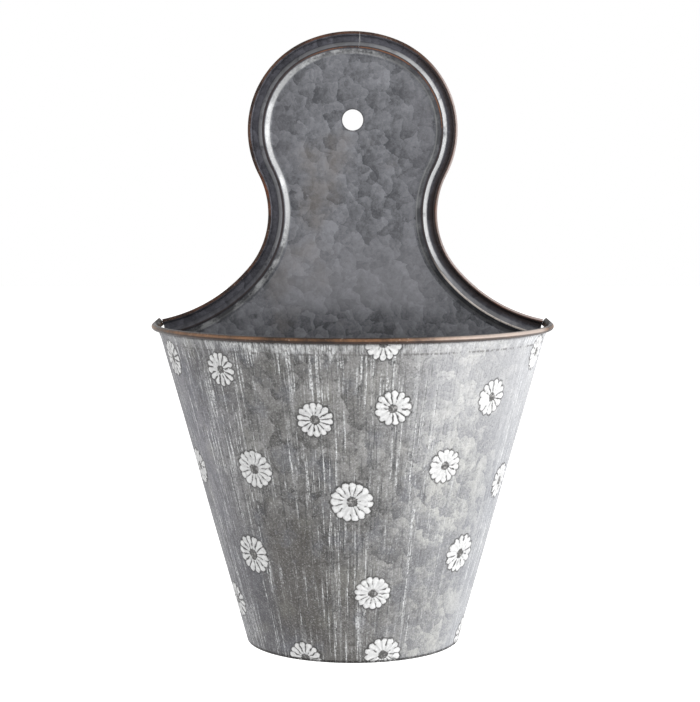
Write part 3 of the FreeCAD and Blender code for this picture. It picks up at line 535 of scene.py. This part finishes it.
# ---------------------------------------------------------------- materials
class Graph:
    """A small helper that adds shader nodes to a new material or world and links them."""

    def __init__(self, name, store=bpy.data.materials):
        self.owner = store.new(name)
        self.owner.use_nodes = True
        self.tree = self.owner.node_tree

    def node(self, kind, settings=None, **inputs):
        """A node with its settings and inputs; i0, i1 and so on are inputs by number."""
        node = self.tree.nodes.new(kind)
        for key, value in (settings or {}).items():
            setattr(node, key, value)
        for key, value in inputs.items():
            socket = node.inputs[int(key[1:])] if key[0] == "i" and key[1:].isdigit() else node.inputs[key]
            self.feed(socket, value)
        return node

    def feed(self, socket, value):
        if isinstance(value, bpy.types.NodeSocket):
            self.tree.links.new(value, socket)
        elif isinstance(value, tuple) and len(value) == 3 and socket.type == "RGBA":
            socket.default_value = (*value, 1.0)
        else:
            socket.default_value = value

    def math(self, operation, first, second=0.0, third=0.0):
        return self.node("ShaderNodeMath", {"operation": operation}, i0=first, i1=second, i2=third).outputs[0]

    def product(self, first, *others):
        for other in others:
            first = self.math("MULTIPLY", first, other)
        return first

    def add(self, start, value, share):
        """The start and a share of the value."""
        return self.math("MULTIPLY_ADD", value, share, start)

    def length(self, across, along):
        squares = self.math("ADD", self.product(across, across), self.product(along, along))
        return self.math("SQRT", squares)

    def vector(self, operation, first, second):
        node = self.node("ShaderNodeVectorMath", {"operation": operation}, i0=first, i1=second)
        return node.outputs["Value" if operation == "DOT_PRODUCT" else "Vector"]

    def axes(self, vector):
        """The three parts of a vector, as X, Y and Z."""
        return self.node("ShaderNodeSeparateXYZ", Vector=vector).outputs

    def field(self, name):
        return self.node("ShaderNodeAttribute", {"attribute_name": name}).outputs["Fac"]

    def place(self):
        return self.node("ShaderNodeTexCoord").outputs["Object"]

    def upright(self, place, share):
        """Places in which noise is drawn out upwards: the smaller the share, the longer."""
        return self.node("ShaderNodeMapping", i0=place, i3=(1.0, 1.0, share)).outputs[0]

    def noise(self, place, scale, detail=4.0, roughness=0.55, distortion=0.0):
        settings = {"Scale": scale, "Detail": detail, "Roughness": roughness, "Distortion": distortion}
        return self.node("ShaderNodeTexNoise", Vector=place, **settings).outputs["Fac"]

    def sway(self, place, scale, detail):
        """A random vector at each place, which leans as often one way as the other."""
        noise = self.node("ShaderNodeTexNoise", Vector=place, Scale=scale, Detail=detail, Roughness=0.5)
        return self.vector("SUBTRACT", noise.outputs["Color"], (0.5,) * 3)

    def range(self, value, low, high, to_low=0.0, to_high=1.0, smooth=True):
        """Where a value lies from low to high, which may fall, as a number between two others."""
        settings = {"interpolation_type": "SMOOTHSTEP" if smooth else "LINEAR"}
        inputs = {"i0": value, "i1": low, "i2": high, "i3": to_low, "i4": to_high}
        return self.node("ShaderNodeMapRange", settings, **inputs).outputs[0]

    def band(self, value, start, full, fade, end):
        """One between full and fade, and nothing before start and after end."""
        return self.product(self.range(value, start, full), self.range(value, end, fade))

    def mix(self, share, first, second):
        """A colour between two others."""
        return self.node("ShaderNodeMix", {"data_type": "RGBA"}, i0=share, i6=first, i7=second).outputs[2]

    def cover(self, colour, paint, *shares):
        """A colour under a paint that covers it by the product of the shares."""
        return self.mix(self.product(*shares), colour, paint)

    def blend(self, share, first, second):
        """A number between two others."""
        return self.node("ShaderNodeMix", {"data_type": "FLOAT"}, i0=share, i2=first, i3=second).outputs[0]

    def bump(self, height, distance, strength=1.0, after=None):
        node = self.node("ShaderNodeBump", Height=height, Distance=distance, Strength=strength)
        if after is not None:
            self.feed(node.inputs["Normal"], after)
        return node.outputs[0]

    def seen(self):
        """One for rays from the camera, off a reflection or through glass, and nothing for others."""
        rays = self.node("ShaderNodeLightPath").outputs
        direct = self.math("MAXIMUM", rays["Is Camera Ray"], rays["Is Glossy Ray"])
        return self.math("MAXIMUM", direct, rays["Is Transmission Ray"])

    def finish(self, colour, roughness, metallic, normal=None, specular=0.5):
        surface = self.tree.nodes["Principled BSDF"].inputs
        self.feed(surface["Base Color"], colour)
        self.feed(surface["Roughness"], roughness)
        self.feed(surface["Metallic"], metallic)
        self.feed(surface["Specular IOR Level"], specular)
        if normal is not None:
            self.feed(surface["Normal"], normal)
        return self.owner


def shown(*levels):
    """A linear colour from the red, green and blue levels of 0 to 255 at which it should be seen."""
    shares = [level / 255 for level in levels]
    return tuple(share / 12.92 if share <= 0.04045 else ((share + 0.055) / 1.055) ** 2.4 for share in shares)


def grey(value, warmth=0.0):
    """A grey, warmer or cooler by a few levels."""
    return shown(value + warmth, value, value - warmth)


# The panel's zinc, dark and pale, which the hem of the border shares.
PANEL_ZINC = shown(67, 68, 72), shown(126, 127, 132)


def spangle(graph, place, dark, pale):
    """Zinc crystals: feathery patches about 7 mm across, each with its own shade, mottled and grainy."""
    warped = graph.vector("ADD", place, graph.vector("MULTIPLY", graph.sway(place, 110.0, 3.0), (0.011,) * 3))
    shade = 0.04
    # Each crystal is paler towards one side, which gives its crisp leaf-like edge.
    for scale, own, lean in ((135.0, 0.36, 0.3), (310.0, 0.2, 0.18)):
        cells = graph.node("ShaderNodeTexVoronoi", Vector=warped, Scale=scale).outputs
        shade = graph.add(shade, cells["Color"], own)
        centred = graph.vector("SUBTRACT", warped, cells["Position"])
        shade = graph.add(shade, graph.vector("DOT_PRODUCT", centred, (60.0, 20.0, 45.0)), lean)
    for strength, *look in (
        (0.35, 120.0, 5.0, 0.6, 1.8),
        (0.4, 380.0, 6.0, 0.7),
        (0.8, 24.0, 4.0, 0.6),
        (0.45, 1100.0, 3.0, 0.7),
    ):
        shade = graph.add(shade, graph.math("SUBTRACT", graph.noise(place, *look), 0.5), strength)
    return graph.mix(graph.range(shade, 0.06, 0.66, smooth=False), dark, pale), shade


def panel_material():
    graph = Graph("galvanised_panel")
    place = graph.place()
    x, _, z = graph.axes(place)
    colour, shade = spangle(graph, place, *PANEL_ZINC)
    scuffs = graph.range(graph.noise(graph.upright(place, 0.6), 320.0, 8.0, 0.75), 0.62, 0.76)
    colour = graph.cover(colour, grey(196, -2), scuffs, 0.3)
    # Old stains that turn the zinc a little brown.
    stain = graph.range(graph.noise(place, 17.0, 5.0, 0.6), 0.54, 0.72)
    colour = graph.cover(colour, grey(104, 8), stain, 0.45)
    # Painted shade darkens both sides of the head, and painted light makes the lower middle paler, where the
    # pocket shades the panel.
    off_middle = graph.math("ABSOLUTE", x)
    side_shade = graph.product(graph.range(off_middle, 0.022, 0.05, 0.0, 0.35), graph.range(z, -0.075, -0.05))
    colour = graph.cover(colour, shown(76, 75, 80), side_shade)
    low_middle_light = graph.product(graph.range(off_middle, 0.065, 0.03), graph.range(z, -0.12, -0.106))
    colour = graph.cover(colour, shown(158, 158, 163), low_middle_light, graph.range(z, -0.05, -0.1, 0.0, 0.35))
    # A dark ring round the hanging hole: painted shade on its edge, with some dirt.
    hole_edge_shade_and_dirt = graph.range(graph.length(x, z), HOLE_RADIUS * MM + 0.0008, HOLE_RADIUS * MM + 0.0003)
    colour = graph.cover(colour, grey(44), hole_edge_shade_and_dirt, 0.7)
    roughness = graph.range(shade, 0.0, 0.8, 0.56, 0.44)
    normal = graph.bump(graph.noise(place, 60.0, 5.0), 0.0006, 0.4)
    normal = graph.bump(shade, 0.00006, 0.5, normal)
    return graph.finish(colour, roughness, 0.4, normal)


def worn_and_lit_seam(graph, colour, x, z, inward, blotch, grain, patch):
    """The border's seam: washed zinc with painted light and shade on its slopes, and a dark or rusty crest
    with a painted highlight in places.
    """
    # The inner slope is paler than the flange; painted light makes it paler still on the left of the head,
    # and painted shade darker on the right.
    inner = graph.band(inward, 9.9, 10.8, 12.4, 13.8)
    slope = graph.mix(graph.range(x, 0.0, 0.035), grey(110, -1), grey(76, -1))
    colour = graph.cover(colour, slope, inner, 0.6)
    left_slope_highlight = graph.product(graph.range(x, -0.02, -0.042), graph.range(z, -0.08, -0.055), inner)
    colour = graph.cover(colour, grey(180, -1), left_slope_highlight, graph.range(grain, 0.3, 0.5, 0.3, 0.7))
    # White wash caught on the inner slope, least on its right; on the outer slope a patchy painted highlight,
    # most of it on the right.
    wash = graph.product(inner, graph.range(graph.add(blotch, grain, 0.3), 0.58, 0.82))
    wash = graph.product(wash, graph.range(x, 0.005, 0.03, 1.0, 0.2))
    outer = graph.band(inward, 5.8, 6.8, 8.2, 8.7)
    toward = graph.range(graph.add(x, patch, 0.03), 0.02, 0.062, 0.3, 1.0)
    toward = graph.product(toward, graph.range(z, -0.1, -0.07, 0.2, 1.0))
    window_highlight = graph.product(outer, graph.range(blotch, 0.3, 0.5), toward)
    colour = graph.cover(colour, grey(205, -1), graph.math("MAXIMUM", wash, window_highlight), 0.8)
    # A dark line along the crest, with a painted highlight on it towards the lower right.
    crest = graph.product(
        graph.band(inward, 8.4, 8.9, 9.5, 10.0), graph.range(graph.field("off_wall"), 2.0, 2.6)
    )
    lit = graph.product(graph.range(x, 0.045, 0.06), graph.range(z, -0.03, -0.06))
    lit = graph.product(lit, graph.range(grain, 0.3, 0.5, 0.4, 1.0))
    colour = graph.cover(colour, graph.mix(lit, shown(50, 43, 42), shown(196, 188, 180)), crest, 0.85)
    # Rust along it in places, mostly at the top and on the right.
    rusty = graph.range(graph.add(graph.add(patch, grain, 0.4), z, 3.0), 0.68, 0.86)
    rusty = graph.product(rusty, graph.range(inward, 8.9, 9.3), graph.range(x, -0.035, -0.01, 0.1, 1.0))
    return graph.cover(colour, shown(128, 88, 64), rusty, crest, 0.8)


def border_material():
    graph = Graph("galvanised_border")
    place = graph.place()
    x, _, z = graph.axes(place)
    inward = graph.field("in_from_edge")
    blotch = graph.noise(place, 75.0, 6.0, 0.68)
    patch = graph.noise(place, 34.0, 4.0, 0.6)
    grain = graph.noise(place, 800.0, 5.0, 0.7)
    flange, _ = spangle(graph, place, shown(48, 48, 53), shown(88, 88, 95))
    panel, _ = spangle(graph, place, *PANEL_ZINC)
    colour = graph.mix(graph.range(inward, 11.6, 12.8), flange, panel)
    colour = worn_and_lit_seam(graph, colour, x, z, inward, blotch, grain, patch)
    # The two strips meet in a fine light line across the flange.
    apart = graph.math("ABSOLUTE", graph.math("SUBTRACT", x, JOINT_OFFSET * MM))
    seam = graph.product(graph.range(apart, 0.0005, 0.0002), graph.range(inward, 8.0, 6.5))
    colour = graph.cover(colour, grey(150), seam, 0.6)
    # On the right a painted shadow of the rolled edge, dark brown, reaches half across the flange.
    flange_shadow = graph.product(graph.range(inward, 6.2, 3.4), graph.range(x, 0.02, 0.05, 0.0, 0.75))
    colour = graph.cover(colour, shown(48, 39, 37), flange_shadow)
    # The rolled edge is brown in light and dark patches, with rust red and bare specks.
    edge = graph.range(graph.add(inward, blotch, 1.4), 2.7, 2.1)
    brown = graph.mix(graph.range(blotch, 0.35, 0.65), shown(38, 27, 23), shown(84, 58, 44))
    brown = graph.cover(brown, shown(112, 66, 44), graph.range(patch, 0.56, 0.7))
    brown = graph.cover(brown, grey(170, 12), graph.range(grain, 0.56, 0.74), 0.6)
    colour = graph.cover(colour, brown, edge, 0.95)
    # Its outermost part on the right carries a painted highlight, pinkish grey.
    edge_highlight = graph.product(graph.range(inward, 1.3, 0.85), graph.range(x, 0.04, 0.058))
    colour = graph.cover(colour, shown(170, 156, 152), edge_highlight, graph.range(blotch, 0.3, 0.45, 0.5, 0.95))
    # A dim painted highlight follows the hem's end.
    hem_end_highlight = graph.band(inward, 11.9, 12.2, 12.7, 13.0)
    colour = graph.cover(colour, grey(150, -1), hem_end_highlight, 0.3)
    normal = graph.bump(grain, 0.0002, 0.4)
    normal = graph.bump(blotch, 0.0006, 0.4, normal)
    metal = graph.product(graph.math("SUBTRACT", 1.0, edge), 0.4)
    roughness = graph.blend(edge, graph.range(grain, 0.3, 0.7, 0.38, 0.56), 0.7)
    return graph.finish(colour, roughness, metal, normal, specular=0.2)


def rim_material():
    graph = Graph("rolled_rim")
    place = graph.place()
    x = graph.axes(place)["X"]
    around = graph.field("round")
    blotch = graph.noise(place, 55.0, 6.0, 0.66)
    grain = graph.noise(place, 700.0, 6.0, 0.7)
    # Along its front the brown roll carries a patchy painted highlight of lighter brown, with bare specks.
    brown = graph.mix(graph.range(blotch, 0.32, 0.66), shown(28, 20, 17), shown(64, 46, 37))
    patchy_highlight = graph.range(graph.add(blotch, grain, 0.5), 0.6, 0.9, 0.2, 0.8)
    colour = graph.cover(brown, shown(142, 104, 74), graph.band(around, -0.25, 0.15, 0.6, 1.0), patchy_highlight)
    colour = graph.cover(colour, grey(200, 8), graph.range(grain, 0.6, 0.72), 0.7)
    # A cream painted highlight on its front towards the window.
    window_highlight = graph.range(graph.add(x, blotch, 0.03), 0.035, 0.105)
    window_highlight = graph.product(window_highlight, graph.range(grain, 0.28, 0.42, 0.5, 0.9), graph.range(x, 0.114, 0.108))
    front = graph.product(graph.range(around, -0.3, 0.05, 0.15, 0.9), graph.range(around, 1.2, 0.95))
    colour = graph.cover(colour, shown(205, 190, 180), window_highlight, front)
    # Painted shade lies in the fold behind the top of the roll and along its underside.
    fold = graph.product(graph.band(around, 1.15, 1.3, 1.6, 1.75), 0.85)
    under = graph.product(graph.range(around, -0.6, -0.9), 0.8)
    colour = graph.cover(colour, (0.045, 0.034, 0.030), graph.math("MAXIMUM", fold, under))
    # Towards the inside it is plain zinc.
    colour = graph.cover(colour, grey(86), graph.range(around, 1.65, 1.8), 0.8)
    normal = graph.bump(grain, 0.0002, 0.45)
    normal = graph.bump(blotch, 0.0006, 0.5, normal)
    return graph.finish(colour, graph.range(grain, 0.3, 0.7, 0.34, 0.5), 0.2, normal, specular=0.3)


def aged_and_lit_zinc(graph, place, turned, level):
    """The pocket's zinc with its weathering and painted light and shade, the shade of its crystals, and the
    share of a bald patch low in front.
    """
    zinc, shade = spangle(graph, place, grey(70, 1), grey(146, 1))
    # Lilac-grey near both sides, partly weathering and partly painted light from the side windows; warmer
    # bare zinc low down.
    from_front = graph.math("ABSOLUTE", graph.math("ADD", turned, 0.2))
    cloud = graph.noise(place, 19.0, 4.0, 0.6)
    side_tint_and_light = graph.range(graph.add(from_front, cloud, 1.4), 1.0, 1.9)
    colour = graph.cover(zinc, shown(132, 131, 141), side_tint_and_light, 0.6)
    low = graph.range(graph.add(level, cloud, 0.12), -0.15, -0.26)
    colour = graph.cover(colour, grey(104, 4), low, 0.35)
    # Painted shade darkens the lower left.
    corner = graph.product(graph.range(turned, -0.1, -0.6), graph.range(level, -0.2, -0.28))
    colour = graph.cover(colour, shown(78, 78, 84), corner, 0.6)
    # A warm bald patch left of the middle, and painted shade on the front low down.
    bald = graph.math("ABSOLUTE", graph.math("ADD", graph.add(turned, cloud, 0.5), 0.2))
    bald = graph.product(graph.range(bald, 0.3, 0.1), graph.band(level, -0.305, -0.285, -0.24, -0.21))
    colour = graph.cover(colour, shown(97, 92, 85), bald, 0.45)
    front = graph.product(graph.range(from_front, 0.5, 0.2), graph.range(level, -0.2, -0.25, 0.0, 0.32))
    colour = graph.cover(colour, shown(84, 82, 80), front)
    tint = graph.noise(place, 48.0, 5.0, 0.65)
    colour = graph.cover(colour, (0.25, 0.245, 0.215), graph.range(tint, 0.52, 0.66, 0.0, 0.3))
    colour = graph.cover(colour, (0.19, 0.20, 0.235), graph.range(tint, 0.46, 0.34, 0.0, 0.3))
    # The side towards the window is paler, its crystals beige and grey, partly its own tone and partly
    # painted light; high up on that side a near-white painted light.
    window_side_light = graph.range(graph.add(turned, cloud, 1.2), 0.55, 1.35)
    pale = graph.mix(graph.range(shade, 0.14, 0.66), shown(140, 141, 144), shown(198, 198, 194))
    pale = graph.cover(pale, shown(178, 180, 186), graph.range(turned, 0.7, 1.2, 0.0, 0.7))
    colour = graph.cover(colour, pale, window_side_light, 0.85)
    high = graph.product(graph.range(level, -0.21, -0.15), graph.range(turned, 0.0, 0.5, 0.0, 0.26))
    colour = graph.cover(colour, shown(226, 226, 228), high)
    # Painted shade darkens the far left edge.
    colour = graph.cover(colour, shown(90, 89, 95), graph.range(turned, -1.1, -1.4, 0.0, 0.8))
    return colour, shade, bald


def streaked(graph, turned, level, share):
    """Places in turn and level: the smaller the level's share, the longer the streaks of a noise."""
    inputs = {"X": graph.product(turned, 0.09), "Y": graph.product(level, share)}
    return graph.node("ShaderNodeCombineXYZ", **inputs).outputs[0]


def brush_wash(graph, colour, place, turned, level, bald):
    """White wash brushed downwards, in long thin streaks and broad thin veils."""
    down = streaked(graph, turned, level, 0.03)
    patch = graph.noise(graph.upright(place, 0.45), 30.0, 4.0, 0.6)
    group = graph.noise(down, 300.0, 3.0, 0.5)
    broad = graph.product(graph.range(group, 0.5, 0.72), graph.math("SUBTRACT", 1.0, bald), 0.3)
    fine = graph.range(graph.noise(down, 950.0, 2.0, 0.6), 0.555, 0.605)
    bold = graph.range(graph.noise(down, 620.0, 2.0, 0.6), 0.6, 0.645)
    broken = graph.range(graph.noise(graph.upright(place, 0.4), 520.0, 3.0, 0.7), 0.38, 0.54, 0.3, 1.0)
    # The streaks keep to zones, fewer towards the right. They show again along the right edge.
    brushed = graph.range(turned, 0.92, 1.12)
    zone = graph.product(graph.math("ADD", group, patch), 0.5)
    for value, share in ((turned, -0.045), (bald, -0.08), (brushed, 0.12)):
        zone = graph.add(zone, value, share)
    zone = graph.range(zone, 0.475, 0.55)
    streaks = graph.product(graph.math("MAXIMUM", fine, bold), broken, zone)
    dry = graph.range(graph.noise(place, 800.0, 4.0, 0.75), 0.38, 0.58, 0.1, 1.0)
    share = graph.math("MAXIMUM", graph.range(turned, 0.7, 0.3, 0.55, 1.0), brushed)
    wash = graph.product(graph.math("MAXIMUM", broad, streaks), dry, share)
    # Thickest just under the rim, where the brush was set down, in patches.
    short = streaked(graph, turned, level, 0.2)
    reach = graph.add(graph.add(level, patch, 0.008), graph.noise(short, 240.0, 5.0, 0.65), 0.022)
    top = graph.product(graph.range(reach, -0.1185, -0.1095), graph.range(patch, 0.4, 0.56, 0.3, 1.0))
    top = graph.product(top, graph.range(turned, -0.95, -0.45, 0.35, 1.0))
    strokes = graph.range(graph.noise(short, 1000.0, 4.0, 0.65), 0.4, 0.58, 0.15, 1.0)
    wash = graph.math("MAXIMUM", wash, graph.product(top, strokes, 0.9))
    colour = graph.cover(colour, grey(236, -1), wash)
    # Bare dark scratches between the streaks.
    bare = graph.range(graph.noise(down, 1000.0, 3.0, 0.6), 0.44, 0.36)
    share = graph.math("MAXIMUM", graph.range(turned, 0.7, 0.2, 0.3, 1.0), graph.product(brushed, 0.6))
    colour = graph.cover(colour, grey(66, -1), bare, share, 0.6)
    # Dark specks among them.
    specks = graph.range(graph.noise(graph.upright(place, 0.4), 620.0, 3.0, 0.75), 0.43, 0.33)
    specks = graph.product(specks, graph.range(zone, 0.2, 0.8, 0.0, 0.75), graph.range(turned, 0.9, 0.3))
    return graph.cover(colour, grey(58, -1), specks), wash


def petal_gap(graph, across, down):
    """Distance from a daisy's centre, and distance outside its nearest petal, as petal_distance has it."""
    length = graph.length(across, down)
    angle = graph.math("ARCTAN2", across, down)
    step = graph.math("DIVIDE", TAU, graph.field("daisy_petals"))
    nearest = graph.product(graph.math("ROUND", graph.math("DIVIDE", angle, step)), step)
    off = graph.math("SUBTRACT", angle, nearest)
    along = graph.product(length, graph.math("COSINE", off))
    aside = graph.product(length, graph.math("SINE", off))
    held = graph.math("MINIMUM", graph.math("MAXIMUM", along, PETAL_ROOT), PETAL_HEAD)
    share = graph.range(along, PETAL_ROOT, PETAL_HEAD, smooth=False)
    half = graph.add(PETAL_ROOT_HALF, share, PETAL_HEAD_HALF - PETAL_ROOT_HALF)
    bow = graph.product(share, graph.math("SUBTRACT", share, 1.0))
    half = graph.add(half, bow, 4 * PETAL_WAIST)
    apart = graph.length(graph.math("SUBTRACT", along, held), aside)
    return length, graph.math("SUBTRACT", apart, half)


def paint_daisies(graph, colour, place, turned):
    """White petals, dark outlines and grey centres, from where each point lies on its daisy."""
    sway_x, sway_y, _ = graph.axes(graph.sway(place, 330.0, 2.0))
    across = graph.add(graph.field("daisy_across"), sway_x, 0.2)
    down = graph.add(graph.field("daisy_down"), sway_y, 0.2)
    length, gap = petal_gap(graph, across, down)
    # Here and there thick paint closes the slit between two petals, more often towards the right.
    thick = graph.add(graph.noise(place, 150.0, 2.0), turned, 0.07)
    closed = graph.product(graph.range(thick, 0.52, 0.6, 0.0, 0.07), graph.range(length, 0.86, 0.78))
    petal = graph.range(graph.math("SUBTRACT", gap, closed), 0.015, -0.006)
    within = graph.range(length, 1.16, 1.10)
    on_daisy = graph.range(graph.field("on_daisy"), 0.3, 0.8)
    uneven = graph.range(graph.noise(place, 420.0, 3.0), 0.35, 0.6, 0.5, 1.0)
    # The dark outline round each petal is partly oxide in the pressed groove and partly painted shade.
    outline = graph.product(graph.range(gap, 0.13, 0.04), within, uneven, 0.92)
    colour = graph.cover(colour, grey(62, 1), outline, on_daisy)
    # Petals carry a little painted shade where they turn down at their edges.
    white = graph.mix(graph.range(graph.noise(place, 420.0, 5.0, 0.7), 0.3, 0.6), grey(204), grey(240))
    white = graph.cover(white, grey(196), graph.range(gap, -0.075, -0.01, 0.0, 0.45))
    chips = graph.range(graph.noise(place, 900.0, 4.0, 0.7), 0.24, 0.36)
    paint = graph.product(petal, chips, on_daisy)
    colour = graph.cover(colour, white, paint)
    disc = graph.range(length, DISC_SHARE + 0.02, DISC_SHARE - 0.02)
    mottle = graph.range(graph.noise(place, 620.0, 5.0, 0.7), 0.46, 0.68)
    colour = graph.cover(colour, graph.mix(mottle, grey(84, 1), grey(176, 1)), disc, on_daisy)
    return colour, paint, graph.product(petal, within)


def pocket_material():
    graph = Graph("washed_pocket")
    place = graph.place()
    level = graph.axes(place)["Z"]
    turned = graph.field("turn")
    colour, shade, bald = aged_and_lit_zinc(graph, place, turned, level)
    colour, wash = brush_wash(graph, colour, place, turned, level, bald)
    # Fine speckle all over.
    speckle = graph.noise(place, 950.0, 3.0, 0.8)
    colour = graph.cover(colour, grey(214, -1), graph.range(speckle, 0.52, 0.7, 0.0, 0.4))
    colour = graph.cover(colour, grey(60, 1), graph.range(speckle, 0.48, 0.3, 0.0, 0.5))
    # Dotted dark marks along the crease below the rim.
    off = graph.math("ABSOLUTE", graph.math("SUBTRACT", level, CREASE_LEVEL * MM))
    dots = graph.range(graph.noise(graph.upright(place, 0.1), 520.0, 4.0, 0.7), 0.42, 0.56)
    colour = graph.cover(colour, grey(84, 2), graph.range(off, 0.0009, 0.0003), dots, 0.65)
    colour, paint, raised = paint_daisies(graph, colour, place, turned)
    # Inside, the pocket is plain dark zinc.
    outside = graph.field("outside")
    colour = graph.mix(outside, graph.mix(shade, grey(62, -1), grey(104, -1)), colour)
    # The bottom fold is dark, with a few bare chips.
    fold = graph.product(graph.range(level, -0.3112, -0.312), outside)
    colour = graph.cover(colour, shown(30, 28, 27), fold, graph.range(speckle, 0.44, 0.6, 1.0, 0.5))
    # Paint covers the metal, which is dull with age next to the wall.
    covered = graph.math("MAXIMUM", paint, graph.product(wash, 0.8))
    dull = graph.range(graph.math("ABSOLUTE", turned), 1.0, 1.4, 1.0, 0.0)
    metal = graph.product(graph.math("SUBTRACT", 1.0, covered), 0.2, dull)
    roughness = graph.blend(covered, graph.range(shade, 0.0, 0.8, 0.56, 0.44), 0.62)
    normal = graph.bump(raised, 0.0002, 0.6)
    normal = graph.bump(graph.math("ADD", wash, graph.noise(place, 900.0, 5.0, 0.7)), 0.00012, 0.4, normal)
    normal = graph.bump(graph.noise(graph.upright(place, 0.4), 55.0, 3.0), 0.0008, 0.35, normal)
    return graph.finish(colour, roughness, metal, normal, specular=0.3)


def floor_metal():
    graph = Graph("galvanised_floor")
    place = graph.place()
    colour, shade = spangle(graph, place, grey(100, -2), grey(148, -2))
    normal = graph.bump(graph.noise(place, 60.0, 5.0), 0.0004, 0.3)
    return graph.finish(colour, graph.range(shade, 0.0, 0.8, 0.58, 0.46), 0.4, normal)


def wire_metal():
    graph = Graph("dull_wire")
    grain = graph.noise(graph.place(), 800.0, 4.0)
    colour = graph.mix(grain, grey(44, 4), grey(90, 6))
    return graph.finish(colour, graph.range(grain, 0.3, 0.7, 0.4, 0.6), 0.6, graph.bump(grain, 0.0002, 0.3))


def dress(piece, material):
    piece.data.materials.clear()
    piece.data.materials.append(material)


# ---------------------------------------------------------------- stage, light and camera
AMBIENT = 0.5
FLOOR_DROP = 120.0
FLOOR_REACH = 6000.0
FLOOR_GLOW = 0.74
# The picture's height and the camera's focal length, both in pixels.
PICTURE_HEIGHT = 702.0
FOCAL_LENGTH = 1860.0
CAMERA_PLACE = (-0.0016, -1.116, -0.038)
CAMERA_DIP = 5.13
SENSOR = 36.0


def pale_floor():
    """A white ground under the planter, which throws back soft light and looks evenly bright."""
    level = BOTTOM_LEVEL - FLOOR_DROP
    corners = [(-1, -1), (1, -1), (1, 1), (-1, 1)]
    points = [(FLOOR_REACH * x, FLOOR_REACH * y, level) for x, y in corners]
    floor = add_mesh("pale_floor", points, [range(4)])
    graph = Graph("pale_floor")
    dress(floor, graph.finish((0.9, 0.9, 0.9), 0.9, 0.0))
    surface = graph.tree.nodes["Principled BSDF"].inputs
    surface["Emission Color"].default_value = (1, 1, 1, 1)
    graph.feed(surface["Emission Strength"], graph.product(graph.seen(), FLOOR_GLOW))


def world_light():
    """Soft light from all round; what the camera sees of it is plain white."""
    graph = Graph("soft_studio", bpy.data.worlds)
    bpy.context.scene.world = graph.owner
    background = graph.tree.nodes["Background"].inputs
    background["Color"].default_value = (1, 1, 1, 1)
    graph.feed(background["Strength"], graph.range(graph.seen(), 0.0, 1.0, AMBIENT, 1.0, smooth=False))


def soft_box(name, place, target, width, height, power):
    light = bpy.data.lights.new(name, "AREA")
    light.shape = "RECTANGLE"
    light.size = width
    light.size_y = height
    light.energy = power
    box = bpy.data.objects.new(name, light)
    box.location = place
    bpy.context.scene.collection.objects.link(box)
    box.rotation_euler = (Vector(target) - Vector(place)).to_track_quat("-Z", "Y").to_euler()


def photo_camera():
    """Pinhole camera where the photograph's outline and ellipses put it."""
    lens = bpy.data.cameras.new("photo_camera")
    lens.sensor_fit = "VERTICAL"
    lens.sensor_height = SENSOR
    lens.sensor_width = SENSOR
    lens.lens = FOCAL_LENGTH / PICTURE_HEIGHT * SENSOR
    camera = bpy.data.objects.new("photo_camera", lens)
    camera.location = CAMERA_PLACE
    camera.rotation_euler = (math.radians(90 - CAMERA_DIP), 0, 0)
    bpy.context.scene.collection.objects.link(camera)
    bpy.context.scene.camera = camera


# ---------------------------------------------------------------- build
border = border_material()
seam_metal = floor_metal()
rolled = rim_material()
for name, side, offset in (
    ("edge_strip_left", -1, -JOINT_OFFSET),
    ("edge_strip_right", 1, JOINT_OFFSET + JOINT_GAP),
):
    dress(edge_strip(name, side, offset), border)
dress(pocket_wall(), pocket_material())
for name, side in (("side_seam_left", -1), ("side_seam_right", 1)):
    dress(side_seam(name, side), seam_metal)
rim_piece, rod_piece = rim()
dress(rim_piece, rolled)
dress(rod_piece, wire_metal())
dress(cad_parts["back_panel"], panel_material())
dress(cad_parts["floor_plate"], seam_metal)

pale_floor()
world_light()
soft_box("right_window", (1.1, -0.72, 0.2), (0, -0.05, -0.1), 0.8, 1.1, 15.0)
soft_box("left_window", (-1.2, -0.4, 0.1), (0, -0.05, -0.15), 0.7, 1.0, 3.5)
soft_box("front_fill", (-0.2, -1.9, 0.7), (0, 0, -0.1), 1.2, 1.0, 3.0)
photo_camera()
bpy.context.scene.view_settings.view_transform = "Standard"
